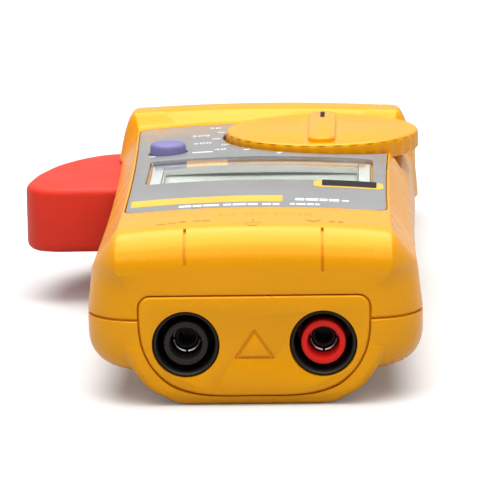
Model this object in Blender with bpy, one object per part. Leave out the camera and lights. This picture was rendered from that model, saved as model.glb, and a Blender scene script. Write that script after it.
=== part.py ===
"""Hand-held clamp meter, built piece by piece.

Design sizes are millimetres: X to the right, Y from the jack end to the jaw tip and Z up
from the face the meter rests on.  Meshes are written in metres, with the origin on the rest
face under the middle of the meter's length.
"""
import bmesh
import bpy
from math import asin, cos, degrees, pi, radians, sin, sqrt
from mathutils import Matrix, Vector

MM = 0.001

# clearances
FIT = 0.3            # between pieces that touch
RUN = 0.6            # round pieces that turn or swing
CUT = 2.0            # how far a cutter runs past the face it opens

# case
CASE_LENGTH = 125.0
HALF_WIDTH = 29.3
WAIST = 0.8
TOP = 31.0
SHOULDER = 7.0
CROWN = 1.1
PARTING = 15.2
WALL = 2.0
SIDE_SLOPE = 5.6     # how much narrower the top face is than the parting line, each side
TOP_WIDENING = 0.3   # share of that slope lost towards the jaws
SKIRT = 5.5          # height of the case's sides above the rest face
HUMP_HALF = 22.7
HUMP_TOP = 10.5
REST_HALF = 12.5
CORNER_STEPS = 4
SIDE_STEPS = 6

# guard ridge across the case, in front of the jaws
GUARD_NEAR = 114.0
GUARD_RISE = 2.4     # above the top face
GUARD_OUT = 0.6

# face plate and display
FACE_NEAR = 21.5
FACE_FAR = 113.0
FACE_THICK = 0.8
FACE_MARGIN = 0.6
FACE_CORNER = 2.4
WINDOW_NEAR = 49.0
WINDOW_FAR = 73.5
WINDOW_HALF = 20.6
WINDOW_THICK = 0.6
DISPLAY_THICK = 1.9
DISPLAY_DROP = 1.3   # display glass below the case's ceiling
DISPLAY_BORDER = 1.9
STRIP_WIDTH = 2.0

# dial
DIAL_RADIUS = 18.5
DIAL_OVERHANG = 0.4
DIAL_Y = 96.0
DIAL_SUNK = 2.5      # dial's recess below the top face
DIAL_PROUD = 1.4     # dial above the top face
DIAL_EDGE = 0.5
GRIP_HALF = 2.6
GRIP_RISE = 0.9
GRIP_END = 2.5       # grip's end in from the dial's rim
DIAL_PAD = 1.7
HUB_RADIUS = 5.0
STEM_RADIUS = 2.4
ROTOR_GAP = 1.0      # between the rotor and the nearest screw post

# hold button
BUTTON_X = -17.9
BUTTON_Y = 82.4
BUTTON_RADIUS = 3.4
BUTTON_PROUD = 1.3
BUTTON_FLANGE = 1.0
BUTTON_FLANGE_THICK = 0.7
SWITCH_RADIUS = 2.4
BUTTON_TRAVEL = 1.0

# jacks and their panel
JACK_X = 11.85
JACK_Z = 10.9
CUP_RADIUS = 5.7
CUP_WALL = 0.65
CUP_DEPTH = 17.0
SLEEVE_RADIUS = 3.85
SLEEVE_BORE = 2.75
SLEEVE_SET_BACK = 0.9
CONTACT_RADIUS = 2.45
CONTACT_BORE = 2.0
STRAP_WIDTH = 3.0
STRAP_THICK = 0.8
PANEL_HALF = 19.85
PANEL_BOTTOM = 1.95
PANEL_TOP = 19.3
PANEL_THICK = 2.4
PANEL_PROUD = 0.2
PANEL_CORNER = 1.4

# circuit board
BOARD_THICK = 1.5
BOARD_NEAR = 13.0
BUZZER_X = 13.0
BUZZER_Y = 30.0
BUZZER_RADIUS = 5.0
BUZZER_HEIGHT = 2.7

# batteries
CELL_RADIUS = 5.25
CELL_LENGTH = 44.5
CELL_GAP = 0.8
TRAY_WALL = 1.2
TRAY_NEAR = 21.0
DOOR_THICK = 1.7
DOOR_MARGIN = 3.0

# screws
SCREW_RADIUS = 1.4
SCREW_HEAD = 2.4
SCREW_HEAD_THICK = 1.6
POST_RADIUS = 2.9
POST_SIDE = 6.2      # post centre in from the case's side
POST_NEAR_Y = 15.0
POST_LEFT_Y = 73.0
POST_RIGHT_Y = 101.0

# jaws
JAW_BOTTOM = 8.2
JAW_TOP = 20.2
JAW_OUTER = 30.0
JAW_INNER = 17.0
JAW_STANDOFF = 17.0
JAW_WALL = 1.4
CORE_WIDTH = 6.0
COIL_WALL = 1.0
PIVOT_X = -19.0
PIVOT_BACK = 8.0
PIN_RADIUS = 2.0
LUG_RADIUS = 5.6

# trigger
TRIGGER_BOTTOM = 10.2
TRIGGER_TOP = 22.8
TRIGGER_OUT = 16.7
TRIGGER_NEAR = 87.0
TRIGGER_WALL = 2.0
SLOT_MARGIN = 6.0    # slot ahead of the trigger, for its near corner as it swings in
MOUTH_DEPTH = 12.0

# spring on the pivot
SPRING_WIRE = 0.3
SPRING_RADIUS = 3.2
SPRING_TURNS = 2
TURN_STEPS = 16

# places worked out from the sizes above
JAW_Y = CASE_LENGTH + JAW_STANDOFF + JAW_OUTER
PIVOT_Y = CASE_LENGTH - PIVOT_BACK
LENGTH = JAW_Y + JAW_OUTER
REST_Y = LENGTH / 2
DIAL_X = HALF_WIDTH + DIAL_OVERHANG - DIAL_RADIUS
BOARD_BOTTOM = TRIGGER_TOP + FIT
BOARD_TOP = BOARD_BOTTOM + BOARD_THICK
BOARD_FAR = PIVOT_Y - LUG_RADIUS - RUN
CAVITY_TOP = TOP - WALL
GUARD_TOP = TOP + GUARD_RISE
DIAL_FLOOR = TOP - DIAL_SUNK
DIAL_TOP = TOP + DIAL_PROUD
BUTTON_TOP = TOP + BUTTON_PROUD
CORE_RADIUS = (JAW_OUTER + JAW_INNER) / 2
JAW_MIDDLE = (JAW_BOTTOM + JAW_TOP) / 2
POST_X = HALF_WIDTH - POST_SIDE
BOARD_HALF = POST_X - POST_RADIUS - FIT
ROTOR_RADIUS = (sqrt((POST_X - DIAL_X) ** 2 + (POST_RIGHT_Y - DIAL_Y) ** 2)
                - POST_RADIUS - ROTOR_GAP)
TRAY_HALF = 2 * CELL_RADIUS + CELL_GAP / 2 + FIT + TRAY_WALL
TRAY_FAR = TRAY_NEAR + CELL_LENGTH + 2 * TRAY_WALL + 2.6
CELL_Z = DOOR_THICK + FIT + CELL_RADIUS + FIT
TRAY_TOP = CELL_Z + CELL_RADIUS + FIT + TRAY_WALL
DOOR_NEAR = TRAY_NEAR - DOOR_MARGIN + CUT
DOOR_FAR = TRAY_FAR + 2 * DOOR_MARGIN
DOOR_HALF = TRAY_HALF + FIT
DOOR_SCREW_Y = DOOR_FAR - DOOR_MARGIN
DOOR_POST_TOP = TRAY_TOP - 3.0
POST_TOP = TOP - SHOULDER + 0.8
SCREW_LEDGE = SKIRT + 3.2
SCREW_TOP = TOP - 8.0
SCREW_DEPTH = SCREW_TOP + FIT - PARTING - FIT
PIN_TOP = TOP - 4.8
PIN_FOOT = SKIRT + WALL - FIT


# shells with so many cuts that the exact solver leaves open edges on them
MANY_CUTS = ('front_case', 'rear_case', 'trigger')


# ---------------------------------------------------------------- making meshes

def clear_scene():
    for item in list(bpy.data.objects):
        bpy.data.objects.remove(item, do_unlink=True)


def place(x, y, z):
    """A design point, in millimetres, as a point of the frame, in metres."""
    return Vector((x, y - REST_Y, z)) * MM


def make_object(name, work):
    bmesh.ops.remove_doubles(work, verts=work.verts, dist=1e-7)
    bmesh.ops.recalc_face_normals(work, faces=work.faces)
    mesh = bpy.data.meshes.new(name)
    work.to_mesh(mesh)
    work.free()
    item = bpy.data.objects.new(name, mesh)
    bpy.context.scene.collection.objects.link(item)
    return item


def finish(item, material):
    item.data.materials.clear()
    item.data.materials.append(material)
    item.data.shade_smooth()
    item.data.set_sharp_from_angle(angle=radians(35))
    return item


def hide(item):
    item.hide_render = True
    item.display_type = 'WIRE'
    return item


def combine(target, operation, others):
    for other in others:
        hide(other)
        step = target.modifiers.new(operation.title(), 'BOOLEAN')
        step.operation = operation
        step.solver = 'MANIFOLD' if target.name in MANY_CUTS else 'EXACT'
        step.object = other
    return target


def cut(target, *others):
    return combine(target, 'DIFFERENCE', others)


def join(target, *others):
    return combine(target, 'UNION', others)


def stack(name, levels):
    """A closed body through outlines of equal length, each given with its height."""
    work = bmesh.new()
    rings = []
    for height, outline in levels:
        rings.append([work.verts.new(place(x, y, height)) for x, y in outline])
    for low, high in zip(rings, rings[1:]):
        for i in range(len(low)):
            j = (i + 1) % len(low)
            work.faces.new((low[i], low[j], high[j], high[i]))
    work.faces.new(list(reversed(rings[0])))
    work.faces.new(rings[-1])
    return make_object(name, work)


def prism(name, outline, bottom, top, bevel=0.0):
    item = stack(name, [(bottom, outline), (top, outline)])
    if bevel:
        bevel_caps(item, bevel)
    return item


def bevel_caps(item, width):
    work = bmesh.new()
    work.from_mesh(item.data)
    lows = min(v.co.z for v in work.verts)
    highs = max(v.co.z for v in work.verts)
    edges = [e for e in work.edges if level_edge(e, lows) or level_edge(e, highs)]
    bmesh.ops.bevel(work, geom=edges, offset=width * MM, segments=2, profile=0.5, affect='EDGES')
    work.to_mesh(item.data)
    work.free()


def level_edge(edge, height):
    return all(abs(v.co.z - height) < 1e-7 for v in edge.verts)


def box(name, x_range, y_range, z_range, bevel=0.0):
    (x0, x1), (y0, y1) = x_range, y_range
    outline = [(x0, y0), (x1, y0), (x1, y1), (x0, y1)]
    return prism(name, outline, z_range[0], z_range[1], bevel)


def turn(name, profile, centre, axis='Z', sides=32):
    """A closed profile of (radius, height) points turned about an axis through centre."""
    work = bmesh.new()
    rings = []
    for i in range(sides):
        angle = 2 * pi * i / sides
        rings.append([turned_vertex(work, radius, height, angle, centre, axis)
                      for radius, height in profile])
    for i in range(sides):
        close_turn(work, rings[i], rings[(i + 1) % sides], profile)
    return make_object(name, work)


def turned_vertex(work, radius, height, angle, centre, axis):
    across = radius * cos(angle)
    around = radius * sin(angle)
    if axis == 'Z':
        point = (across, around, height)
    else:
        point = (across, height, around)
    return work.verts.new(place(*(c + p for c, p in zip(centre, point))))


def close_turn(work, ring, following, profile):
    for k in range(len(profile)):
        m = (k + 1) % len(profile)
        if profile[k][0] == 0 and profile[m][0] == 0:
            continue
        corners = [ring[k], ring[m], following[m], following[k]]
        if profile[k][0] == 0:
            corners.pop(3)
        elif profile[m][0] == 0:
            corners.pop(2)
        work.faces.new(corners)


def cylinder(name, radius, centre, low, high, axis='Z', sides=32, bevel=0.0):
    profile = [(0, low), (radius - bevel, low), (radius, low + bevel)]
    profile += [(radius, high - bevel), (radius - bevel, high), (0, high)]
    if not bevel:
        profile = [(0, low), (radius, low), (radius, high), (0, high)]
    return turn(name, profile, centre, axis, sides)


def tube(name, outer, inner, centre, low, high, axis='Z', sides=32):
    profile = [(inner, low), (outer, low), (outer, high), (inner, high)]
    return turn(name, profile, centre, axis, sides)


def arc(centre, radius, start, end, steps):
    """Points on an arc, from and to the angles given in degrees."""
    points = []
    for i in range(steps + 1):
        angle = radians(start + (end - start) * i / steps)
        points.append((centre[0] + radius * cos(angle), centre[1] + radius * sin(angle)))
    return points


def set_origin(item, x, y, z):
    """Puts an object's origin on its joint's axis and leaves its shape where it is."""
    point = place(x, y, z)
    item.data.transform(Matrix.Translation(-point))
    item.location = point


# ---------------------------------------------------------------- materials

def material(name, colour, roughness=0.45, metallic=0.0):
    finish_of = bpy.data.materials.new(name)
    finish_of.use_nodes = True
    shader = finish_of.node_tree.nodes['Principled BSDF']
    shader.inputs['Base Color'].default_value = (*colour, 1.0)
    shader.inputs['Roughness'].default_value = roughness
    shader.inputs['Metallic'].default_value = metallic
    return finish_of


def make_materials():
    return {
        'case': material('yellow_case', (0.86, 0.42, 0.02), 0.42),
        'red': material('red_plastic', (0.62, 0.03, 0.02), 0.4),
        'black': material('black_plastic', (0.02, 0.02, 0.02), 0.45),
        'face': material('grey_face', (0.16, 0.17, 0.17), 0.4),
        'glass': material('display_glass', (0.5, 0.54, 0.5), 0.1),
        'button': material('blue_rubber', (0.25, 0.25, 0.45), 0.6),
        'board': material('green_board', (0.02, 0.15, 0.06), 0.5),
        'steel': material('steel', (0.6, 0.6, 0.62), 0.3, 1.0),
        'brass': material('brass', (0.75, 0.55, 0.25), 0.3, 1.0),
        'copper': material('copper_winding', (0.6, 0.25, 0.1), 0.4, 1.0),
        'iron': material('laminated_iron', (0.25, 0.25, 0.27), 0.45, 1.0),
        'strip': material('contact_rubber', (0.1, 0.1, 0.1), 0.8),
    }


# ---------------------------------------------------------------- case outlines

def half_width(y, inset):
    waist = WAIST * sin(pi * min(max(y, 0), CASE_LENGTH) / CASE_LENGTH)
    widening = 1 - TOP_WIDENING * min(max(y, 0), CASE_LENGTH) / CASE_LENGTH
    return HALF_WIDTH - waist - inset * widening


def plan(near, far, inset, near_radius, far_radius):
    """A rounded plan outline of the case, anticlockwise, always with the same point count."""
    reach = HALF_WIDTH - inset
    points = arc((reach - near_radius, near + near_radius), near_radius, -90, 0, CORNER_STEPS)
    start = near + near_radius
    end = far - far_radius
    points += [(reach, start + (end - start) * i / SIDE_STEPS) for i in range(1, SIDE_STEPS)]
    points += arc((reach - far_radius, far - far_radius), far_radius, 0, 90, CORNER_STEPS)
    mirrored = [(-x, y) for x, y in reversed(points)]
    return [(x * half_width(y, inset) / reach, y) for x, y in points + mirrored]


def shoulder_levels(wall):
    """Front case outlines from the parting line to the top face, moved in by a wall."""
    levels = [(PARTING - CUT if wall else PARTING + FIT / 2, front_plan(0.0, 0.0, 9.5, wall))]
    levels.append((TOP - SHOULDER - 5.0, front_plan(0.0, 0.5, 8.5, wall)))
    for i in range(5):
        angle = radians(22.5 * i)
        height = TOP - SHOULDER + SHOULDER * sin(angle) - wall
        end_inset = SHOULDER * (1 - cos(angle))
        side_inset = 1.1 + (SIDE_SLOPE - 1.1) * sin(angle)
        levels.append((height, front_plan(end_inset, side_inset, 7.5 - 1.3 * i, wall)))
    return levels


def front_plan(end_inset, side_inset, corner, wall):
    inner_corner = max(corner - wall, 0.8)
    far = CASE_LENGTH - wall
    return plan(end_inset + wall, far, side_inset + wall, inner_corner, max(5.0 - wall, 0.8))


def slice_across(item, count=8):
    """Cuts a body into strips along Y so that its top can be crowned."""
    work = bmesh.new()
    work.from_mesh(item.data)
    for i in range(1, count):
        x = (-1 + 2 * i / count) * HALF_WIDTH * MM
        everything = work.verts[:] + work.edges[:] + work.faces[:]
        bmesh.ops.bisect_plane(work, geom=everything, dist=1e-7, plane_co=(x, 0, 0),
                               plane_no=(1, 0, 0))
    crown(work)
    work.to_mesh(item.data)
    work.free()
    return item


def crown(work):
    for vertex in work.verts:
        share = (vertex.co.z / MM - PARTING) / (TOP - PARTING)
        across = vertex.co.x / MM / (HALF_WIDTH - SIDE_SLOPE)
        vertex.co.z -= CROWN * MM * across * across * min(max(share, 0), 1) ** 2


def crowned_plate(name, outline, bottom, top):
    return slice_across(prism(name, outline, bottom, top))


# ---------------------------------------------------------------- front case

def guard_arch(out):
    """The guard's outline across the case, as (x, z) points from right to left."""
    half = HALF_WIDTH + GUARD_OUT - out
    height = GUARD_TOP - out
    points = [(half, PARTING + FIT / 2), (half, 22.0), (half - 1.2, 26.0)]
    points += [(half - 3.4, height - 3.0), (half - 7.5, height - 1.2)]
    points += [(half - 14.0, height - 0.3), (0, height)]
    return points + [(-x, z) for x, z in reversed(points[:-1])]


def guard_ridge(name):
    work = bmesh.new()
    rings = []
    for y, out in ((GUARD_NEAR, 1.6), (GUARD_NEAR + 3.0, 0.0),
                   (CASE_LENGTH - 2.5, 0.0), (CASE_LENGTH, 1.8)):
        rings.append([work.verts.new(place(x, y, z)) for x, z in guard_arch(out)])
    for near, far in zip(rings, rings[1:]):
        for i in range(len(near)):
            j = (i + 1) % len(near)
            work.faces.new((near[i], near[j], far[j], far[i]))
    work.faces.new(list(reversed(rings[0])))
    work.faces.new(rings[-1])
    return make_object(name, work)


def dial_circle(name, clearance, low, high):
    return cylinder(name, DIAL_RADIUS + clearance, (DIAL_X, DIAL_Y, 0), low, high, sides=40)


def front_cavity():
    cavity = slice_across(stack('front_cavity', shoulder_levels(WALL)))
    pad = dial_circle('dial_pad', 1.6, DIAL_FLOOR - DIAL_PAD, TOP + CUT)
    thumb = box('thumb_pad', (BOARD_HALF + 0.9, HALF_WIDTH + CUT),
                (DIAL_Y - 13, DIAL_Y + 13), (DIAL_FLOOR - 4.2, TOP + CUT))
    return cut(cavity, pad, thumb)


def post_places():
    return [(-POST_X, POST_NEAR_Y), (POST_X, POST_NEAR_Y),
            (-POST_X, POST_LEFT_Y), (POST_X, POST_RIGHT_Y)]


def blind_post(name, place_xy, outer, bore, low, high, depth):
    """A post with a blind hole, open at its lower end."""
    profile = [(bore, low), (outer, low), (outer, high), (0, high), (0, low + depth),
               (bore, low + depth)]
    return turn(name, profile, (*place_xy, 0), sides=20)


def front_posts():
    posts = []
    low = PARTING + FIT
    for i, (x, y) in enumerate(post_places()):
        posts.append(blind_post(f'front_post_{i}', (x, y), POST_RADIUS, SCREW_RADIUS + FIT, low,
                                POST_TOP, SCREW_DEPTH))
        side = 1 if x > 0 else -1
        ends = sorted((x + side * (POST_RADIUS - 0.6), side * (HALF_WIDTH - WAIST - WALL + 0.6)))
        posts.append(box(f'front_web_{i}', ends, (y - 0.6, y + 0.6), (low, POST_TOP - 1.5)))
    posts.append(blind_post('pivot_boss_top', (PIVOT_X, PIVOT_Y), PIN_RADIUS + 2.2,
                            PIN_RADIUS + FIT, BOARD_BOTTOM, CAVITY_TOP - 0.4, PIN_TOP + FIT - BOARD_BOTTOM))
    return posts


def panel_outline(clearance):
    """The jack panel's outline as (x, z) points, with large lower corners."""
    half = PANEL_HALF + clearance
    low = PANEL_BOTTOM - clearance
    high = PANEL_TOP + clearance
    corner = PANEL_CORNER + clearance
    right = arc((half - corner, high - corner), corner, 90, 0, 3)
    right += [(half - 0.2, 12.5), (half - 0.9, 9.5), (half - 2.6, 6.4)]
    right += [(half - 5.6, low + 1.9), (half - 9.5, low + 0.5), (half - 14, low)]
    return right + [(-x, z) for x, z in reversed(right)]


def panel_body(name, clearance, near, far):
    work = bmesh.new()
    outline = panel_outline(clearance)
    front = [work.verts.new(place(x, near, z)) for x, z in outline]
    back = [work.verts.new(place(x, far, z)) for x, z in outline]
    for i in range(len(front)):
        j = (i + 1) % len(front)
        work.faces.new((front[i], front[j], back[j], back[i]))
    work.faces.new(front)
    work.faces.new(list(reversed(back)))
    return make_object(name, work)


def trigger_slot(name):
    """Opening in the case's left side that the trigger swings into."""
    return box(name, (-HALF_WIDTH - CUT, PIVOT_X + 4.5),
               (TRIGGER_NEAR - SLOT_MARGIN, CASE_LENGTH + CUT), (TRIGGER_BOTTOM - FIT, BOARD_BOTTOM))


def jaw_mouth(name):
    return box(name, (-HALF_WIDTH - CUT, HALF_WIDTH - 1.7),
               (CASE_LENGTH - MOUTH_DEPTH, CASE_LENGTH + CUT), (JAW_BOTTOM - FIT, JAW_TOP + FIT))


def face_outline(margin, near, far):
    return plan(near, far, SIDE_SLOPE + margin, FACE_CORNER, FACE_CORNER)


def window_outline(clearance):
    half = WINDOW_HALF + clearance
    near = WINDOW_NEAR - clearance
    far = WINDOW_FAR + clearance
    return [(-half, near), (half, near), (half, far), (-half, far)]


def dial_well(name, clearance, low):
    """The dial's recess, with the hole for its hub."""
    floor = DIAL_FLOOR
    profile = [(0, low), (HUB_RADIUS + FIT, low), (HUB_RADIUS + FIT, floor),
               (DIAL_RADIUS + clearance, floor), (DIAL_RADIUS + clearance, GUARD_TOP + CUT),
               (0, GUARD_TOP + CUT)]
    return turn(name, profile, (DIAL_X, DIAL_Y, 0), sides=40)


def face_recess():
    outline = face_outline(FACE_MARGIN - FIT, FACE_NEAR - FIT, FACE_FAR + FIT)
    recess = slice_across(prism('face_recess', outline, TOP - FACE_THICK - FIT, TOP + CUT))
    return cut(recess, far_corner('recess_corner', FIT))


def thumb_cut():
    """Notch in the case's side that lets a thumb reach the dial's rim."""
    return box('thumb_cut', (BOARD_HALF + 3.8, HALF_WIDTH + CUT), (DIAL_Y - 11, DIAL_Y + 11),
               (DIAL_FLOOR - 2.4, GUARD_TOP + CUT))


def button_hole(name):
    return cylinder(name, BUTTON_RADIUS + FIT, (BUTTON_X, BUTTON_Y, 0), CAVITY_TOP - 2 * CUT,
                    TOP + CUT, sides=32)


def make_front_case(finishes):
    case = slice_across(stack('front_case', shoulder_levels(0.0)))
    join(case, guard_ridge('guard_ridge'))
    cut(case, face_recess(), dial_well('dial_well', RUN, DIAL_FLOOR - 2 * CUT), thumb_cut())
    cut(case, prism('display_opening', window_outline(-1.0), CAVITY_TOP - 2 * CUT, TOP + CUT))
    cut(case, button_hole('button_hole'))
    cut(case, front_cavity())
    cut(case, panel_body('panel_cut_front', FIT, -CUT, WALL + CUT))
    cut(case, trigger_slot('trigger_slot_front'), jaw_mouth('jaw_mouth_front'))
    join(case, *front_posts())
    return finish(case, finishes['case'])


# ---------------------------------------------------------------- rear case

def rear_levels(wall):
    """Outlines of the case's lower sides, from the skirt to the parting line."""
    top = PARTING + CUT if wall else PARTING - FIT / 2
    shape = [(SKIRT, 3.2, 5.5, 10.0), (SKIRT + 0.6, 1.6, 3.4, 10.0), (SKIRT + 2.0, 0.6, 1.5, 10.0),
             (SKIRT + 4.5, 0.1, 0.4, 9.8)]
    levels = [(height + wall, rear_plan(end, side, corner, wall))
              for height, end, side, corner in shape]
    levels.append((top, rear_plan(0.0, 0.0, 9.5, wall)))
    return levels


def rear_plan(end_inset, side_inset, corner, wall):
    near = end_inset + wall
    return plan(near, CASE_LENGTH - end_inset - wall, side_inset + wall, corner - wall, 5.0)


def hump_levels(wall):
    """The raised back of the rear case that the meter rests on."""
    shape = [(0.0, 1.6, 9.0, REST_HALF), (0.5, 0.9, 8.4, REST_HALF + 1.8),
             (1.5, 0.4, 7.4, 15.6), (2.8, 0.1, 6.0, 18.2), (5.0, 0.0, 4.0, 20.2),
             (8.0, 0.0, 2.4, 22.0), (HUMP_TOP, 0.0, 1.2, HUMP_HALF)]
    levels = []
    for height, near, far, half in shape:
        outline = hump_plan(near + wall, CASE_LENGTH - far - wall, half - wall)
        levels.append((height + wall, outline))
    return levels


def hump_plan(near, far, half):
    corner = 1.6
    points = arc((half - corner, near + corner), corner, -90, 0, 3)
    points += arc((half - corner * 2, far - corner * 2), corner * 2, 0, 90, 3)
    return points + [(-x, y) for x, y in reversed(points)]


def screw_tube(name, spot, low, ledge, high):
    """A post open right through, wide below its ledge for the screw's head."""
    profile = [(SCREW_HEAD + FIT, low), (SCREW_HEAD + FIT + 0.8, low),
               (SCREW_HEAD + FIT + 0.8, ledge + 1.0), (POST_RADIUS, ledge + 2.0),
               (POST_RADIUS, high), (SCREW_RADIUS + FIT, high), (SCREW_RADIUS + FIT, ledge),
               (SCREW_HEAD + FIT, ledge)]
    return turn(name, profile, (*spot, 0), sides=20)


def rear_posts():
    posts = []
    for i, spot in enumerate(post_places()):
        posts.append(screw_tube(f'rear_post_{i}', spot, SKIRT + 0.9, SCREW_LEDGE,
                                PARTING - FIT / 2))
    posts.append(pivot_boss_low())
    posts.append(door_post())
    return posts


def pivot_boss_low():
    return cylinder('pivot_boss_low', PIN_RADIUS + 2.2, (PIVOT_X, PIVOT_Y, 0), SKIRT + 0.9,
                    JAW_BOTTOM - FIT, sides=20)


def pin_seat():
    """Blind hole in the case's floor for the pivot pin's foot."""
    return cylinder('pin_seat', PIN_RADIUS + FIT, (PIVOT_X, PIVOT_Y, 0), PIN_FOOT - FIT,
                    JAW_BOTTOM + CUT, sides=20)


def door_post():
    """Post for the battery door's screw, behind the tray and tied to the hump's floor."""
    low = DOOR_THICK + FIT
    profile = [(SCREW_RADIUS + FIT, low), (POST_RADIUS, low), (POST_RADIUS, DOOR_POST_TOP),
               (0, DOOR_POST_TOP), (0, DOOR_POST_TOP - 1.2), (SCREW_RADIUS + FIT, DOOR_POST_TOP - 1.2)]
    post = turn('door_post', profile, (0, DOOR_SCREW_Y, 0), sides=20)
    rib = box('door_post_rib', (-1.0, 1.0), (DOOR_SCREW_Y + POST_RADIUS - 0.6, DOOR_FAR + 4.0),
              (low, DOOR_POST_TOP))
    foot = box('door_post_foot', (-1.6, 1.6), (DOOR_FAR + 2 * FIT, DOOR_FAR + 4.5),
               (WALL - 0.8, low + 1.5))
    return join(post, rib, foot)


def screw_wells():
    wells = []
    for i, (x, y) in enumerate(post_places()):
        wells.append(cylinder(f'screw_well_{i}', SCREW_HEAD + FIT + 0.4, (x, y, 0), -CUT,
                              SCREW_LEDGE + 1.0, sides=20))
    return wells


def make_rear_case(finishes):
    case = stack('rear_case', rear_levels(0.0))
    join(case, stack('hump', hump_levels(0.0)))
    cut(case, stack('rear_cavity', rear_levels(WALL)), stack('hump_cavity', hump_levels(WALL)))
    cut(case, box('door_opening', (-DOOR_HALF - FIT, DOOR_HALF + FIT),
                  (DOOR_NEAR - FIT, DOOR_FAR + FIT), (-CUT, WALL + 1.6)))
    cut(case, panel_body('panel_cut_rear', FIT, -CUT, WALL + CUT))
    cut(case, trigger_slot('trigger_slot_rear'), jaw_mouth('jaw_mouth_rear'))
    cut(case, *screw_wells())
    join(case, *rear_posts())
    cut(case, pin_seat())
    return finish(case, finishes['case'])


# ---------------------------------------------------------------- jack panel and jacks

def make_jack_panel(finishes):
    panel = panel_body('jack_panel', 0.0, -PANEL_PROUD, PANEL_THICK - PANEL_PROUD)
    for side in (-1, 1):
        centre = (side * JACK_X, 0, JACK_Z)
        cut(panel, cylinder(f'panel_hole_{side + 1}', CUP_RADIUS + FIT, centre, -CUT,
                            PANEL_THICK + CUT, 'Y', 28))
    return finish(panel, finishes['case'])


def make_jack(name, side, finishes, colour):
    centre = (side * JACK_X, 0, JACK_Z)
    inner = CUP_RADIUS - CUP_WALL
    floor = CUP_DEPTH - 1.5
    flange = CUP_RADIUS + 1.3
    behind = PANEL_THICK - PANEL_PROUD + FIT
    cup = turn(f'jack_cup_{name}',
               [(inner, 0.1), (CUP_RADIUS, 0.1), (CUP_RADIUS, behind), (flange, behind),
                (flange, behind + 1.4), (CUP_RADIUS, behind + 1.4), (CUP_RADIUS, CUP_DEPTH),
                (CONTACT_RADIUS + FIT, CUP_DEPTH), (CONTACT_RADIUS + FIT, floor), (inner, floor)],
               centre, 'Y', 28)
    sleeve = turn(f'jack_sleeve_{name}',
                  [(SLEEVE_BORE, SLEEVE_SET_BACK), (SLEEVE_RADIUS, SLEEVE_SET_BACK),
                   (SLEEVE_RADIUS, floor - 1.8), (inner - FIT, floor - 1.8),
                   (inner - FIT, floor - FIT), (SLEEVE_BORE, floor - FIT)],
                  centre, 'Y', 24)
    contact = tube(f'jack_contact_{name}', CONTACT_RADIUS, CONTACT_BORE, centre,
                   SLEEVE_SET_BACK + 1.8, CUP_DEPTH + 1.5, 'Y', 24)
    finish(cup, finishes['black'])
    finish(sleeve, finishes[colour])
    finish(contact, finishes['steel'])
    make_strap(name, side, finishes)


def make_strap(name, side, finishes):
    """Brass strap from the back of a jack's contact up to the circuit board."""
    x = side * JACK_X
    near = CUP_DEPTH + 1.5 + FIT
    strap = box(f'jack_strap_{name}', (x - STRAP_WIDTH / 2, x + STRAP_WIDTH / 2),
                (near, near + STRAP_THICK), (JACK_Z - STRAP_WIDTH / 2, BOARD_BOTTOM - FIT))
    finish(strap, finishes['brass'])


# ---------------------------------------------------------------- face plate and display

def far_corner(name, clearance):
    """The corner beyond the dial, which the face plate doesn't reach."""
    return box(name, (DIAL_X + clearance, HALF_WIDTH), (DIAL_Y + clearance, CASE_LENGTH),
               (CAVITY_TOP - CUT, TOP + 2 * CUT))


def make_face_plate(finishes):
    outline = face_outline(FACE_MARGIN, FACE_NEAR, FACE_FAR)
    plate = crowned_plate('face_plate', outline, TOP - FACE_THICK, TOP)
    cut(plate, far_corner('face_corner_cut', 0.0))
    cut(plate, dial_circle('face_dial_cut', RUN, CAVITY_TOP - CUT, TOP + CUT))
    cut(plate, prism('face_window_cut', window_outline(FIT), CAVITY_TOP - CUT, TOP + CUT))
    cut(plate, button_hole('face_button_cut'))
    return finish(plate, finishes['face'])


def make_display(finishes):
    window = crowned_plate('display_window', window_outline(0.0), TOP - FACE_THICK,
                           TOP - FACE_THICK + WINDOW_THICK)
    finish(window, finishes['glass'])
    half = WINDOW_HALF - DISPLAY_BORDER
    near = WINDOW_NEAR - DISPLAY_BORDER
    far = WINDOW_FAR + DISPLAY_BORDER
    low = CAVITY_TOP - DISPLAY_DROP - DISPLAY_THICK
    panel = box('display_panel', (-half, half), (near, far), (low, low + DISPLAY_THICK))
    finish(panel, finishes['glass'])
    for name, y in (('near', near), ('far', far - STRIP_WIDTH)):
        strip = box(f'display_strip_{name}', (-half + 1, half - 1), (y, y + STRIP_WIDTH),
                    (BOARD_TOP + FIT, low - FIT))
        finish(strip, finishes['strip'])


# ---------------------------------------------------------------- dial and button

def make_dial(finishes):
    centre = (DIAL_X, DIAL_Y, 0)
    low = DIAL_FLOOR + FIT
    stem = BOARD_TOP + 2 * FIT
    knob = turn('dial_knob',
                [(0, stem), (STEM_RADIUS, stem), (STEM_RADIUS, DIAL_FLOOR - DIAL_PAD - FIT),
                 (HUB_RADIUS, DIAL_FLOOR - DIAL_PAD - FIT), (HUB_RADIUS, low),
                 (DIAL_RADIUS, low), (DIAL_RADIUS, DIAL_TOP - DIAL_EDGE),
                 (DIAL_RADIUS - DIAL_EDGE, DIAL_TOP), (0, DIAL_TOP)],
                centre, sides=40)
    join(knob, box('dial_grip', (DIAL_X - GRIP_HALF, DIAL_X + GRIP_HALF),
                   (DIAL_Y - DIAL_RADIUS + GRIP_END, DIAL_Y + DIAL_RADIUS - GRIP_END),
                   (DIAL_TOP - 1.0, DIAL_TOP + GRIP_RISE), DIAL_EDGE))
    finish(knob, finishes['case'])
    rotor_low = BOARD_TOP + FIT
    rotor = tube('dial_rotor', ROTOR_RADIUS, STEM_RADIUS + FIT, centre, rotor_low,
                 DIAL_FLOOR - DIAL_PAD - 2 * FIT, sides=32)
    finish(rotor, finishes['black'])


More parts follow.
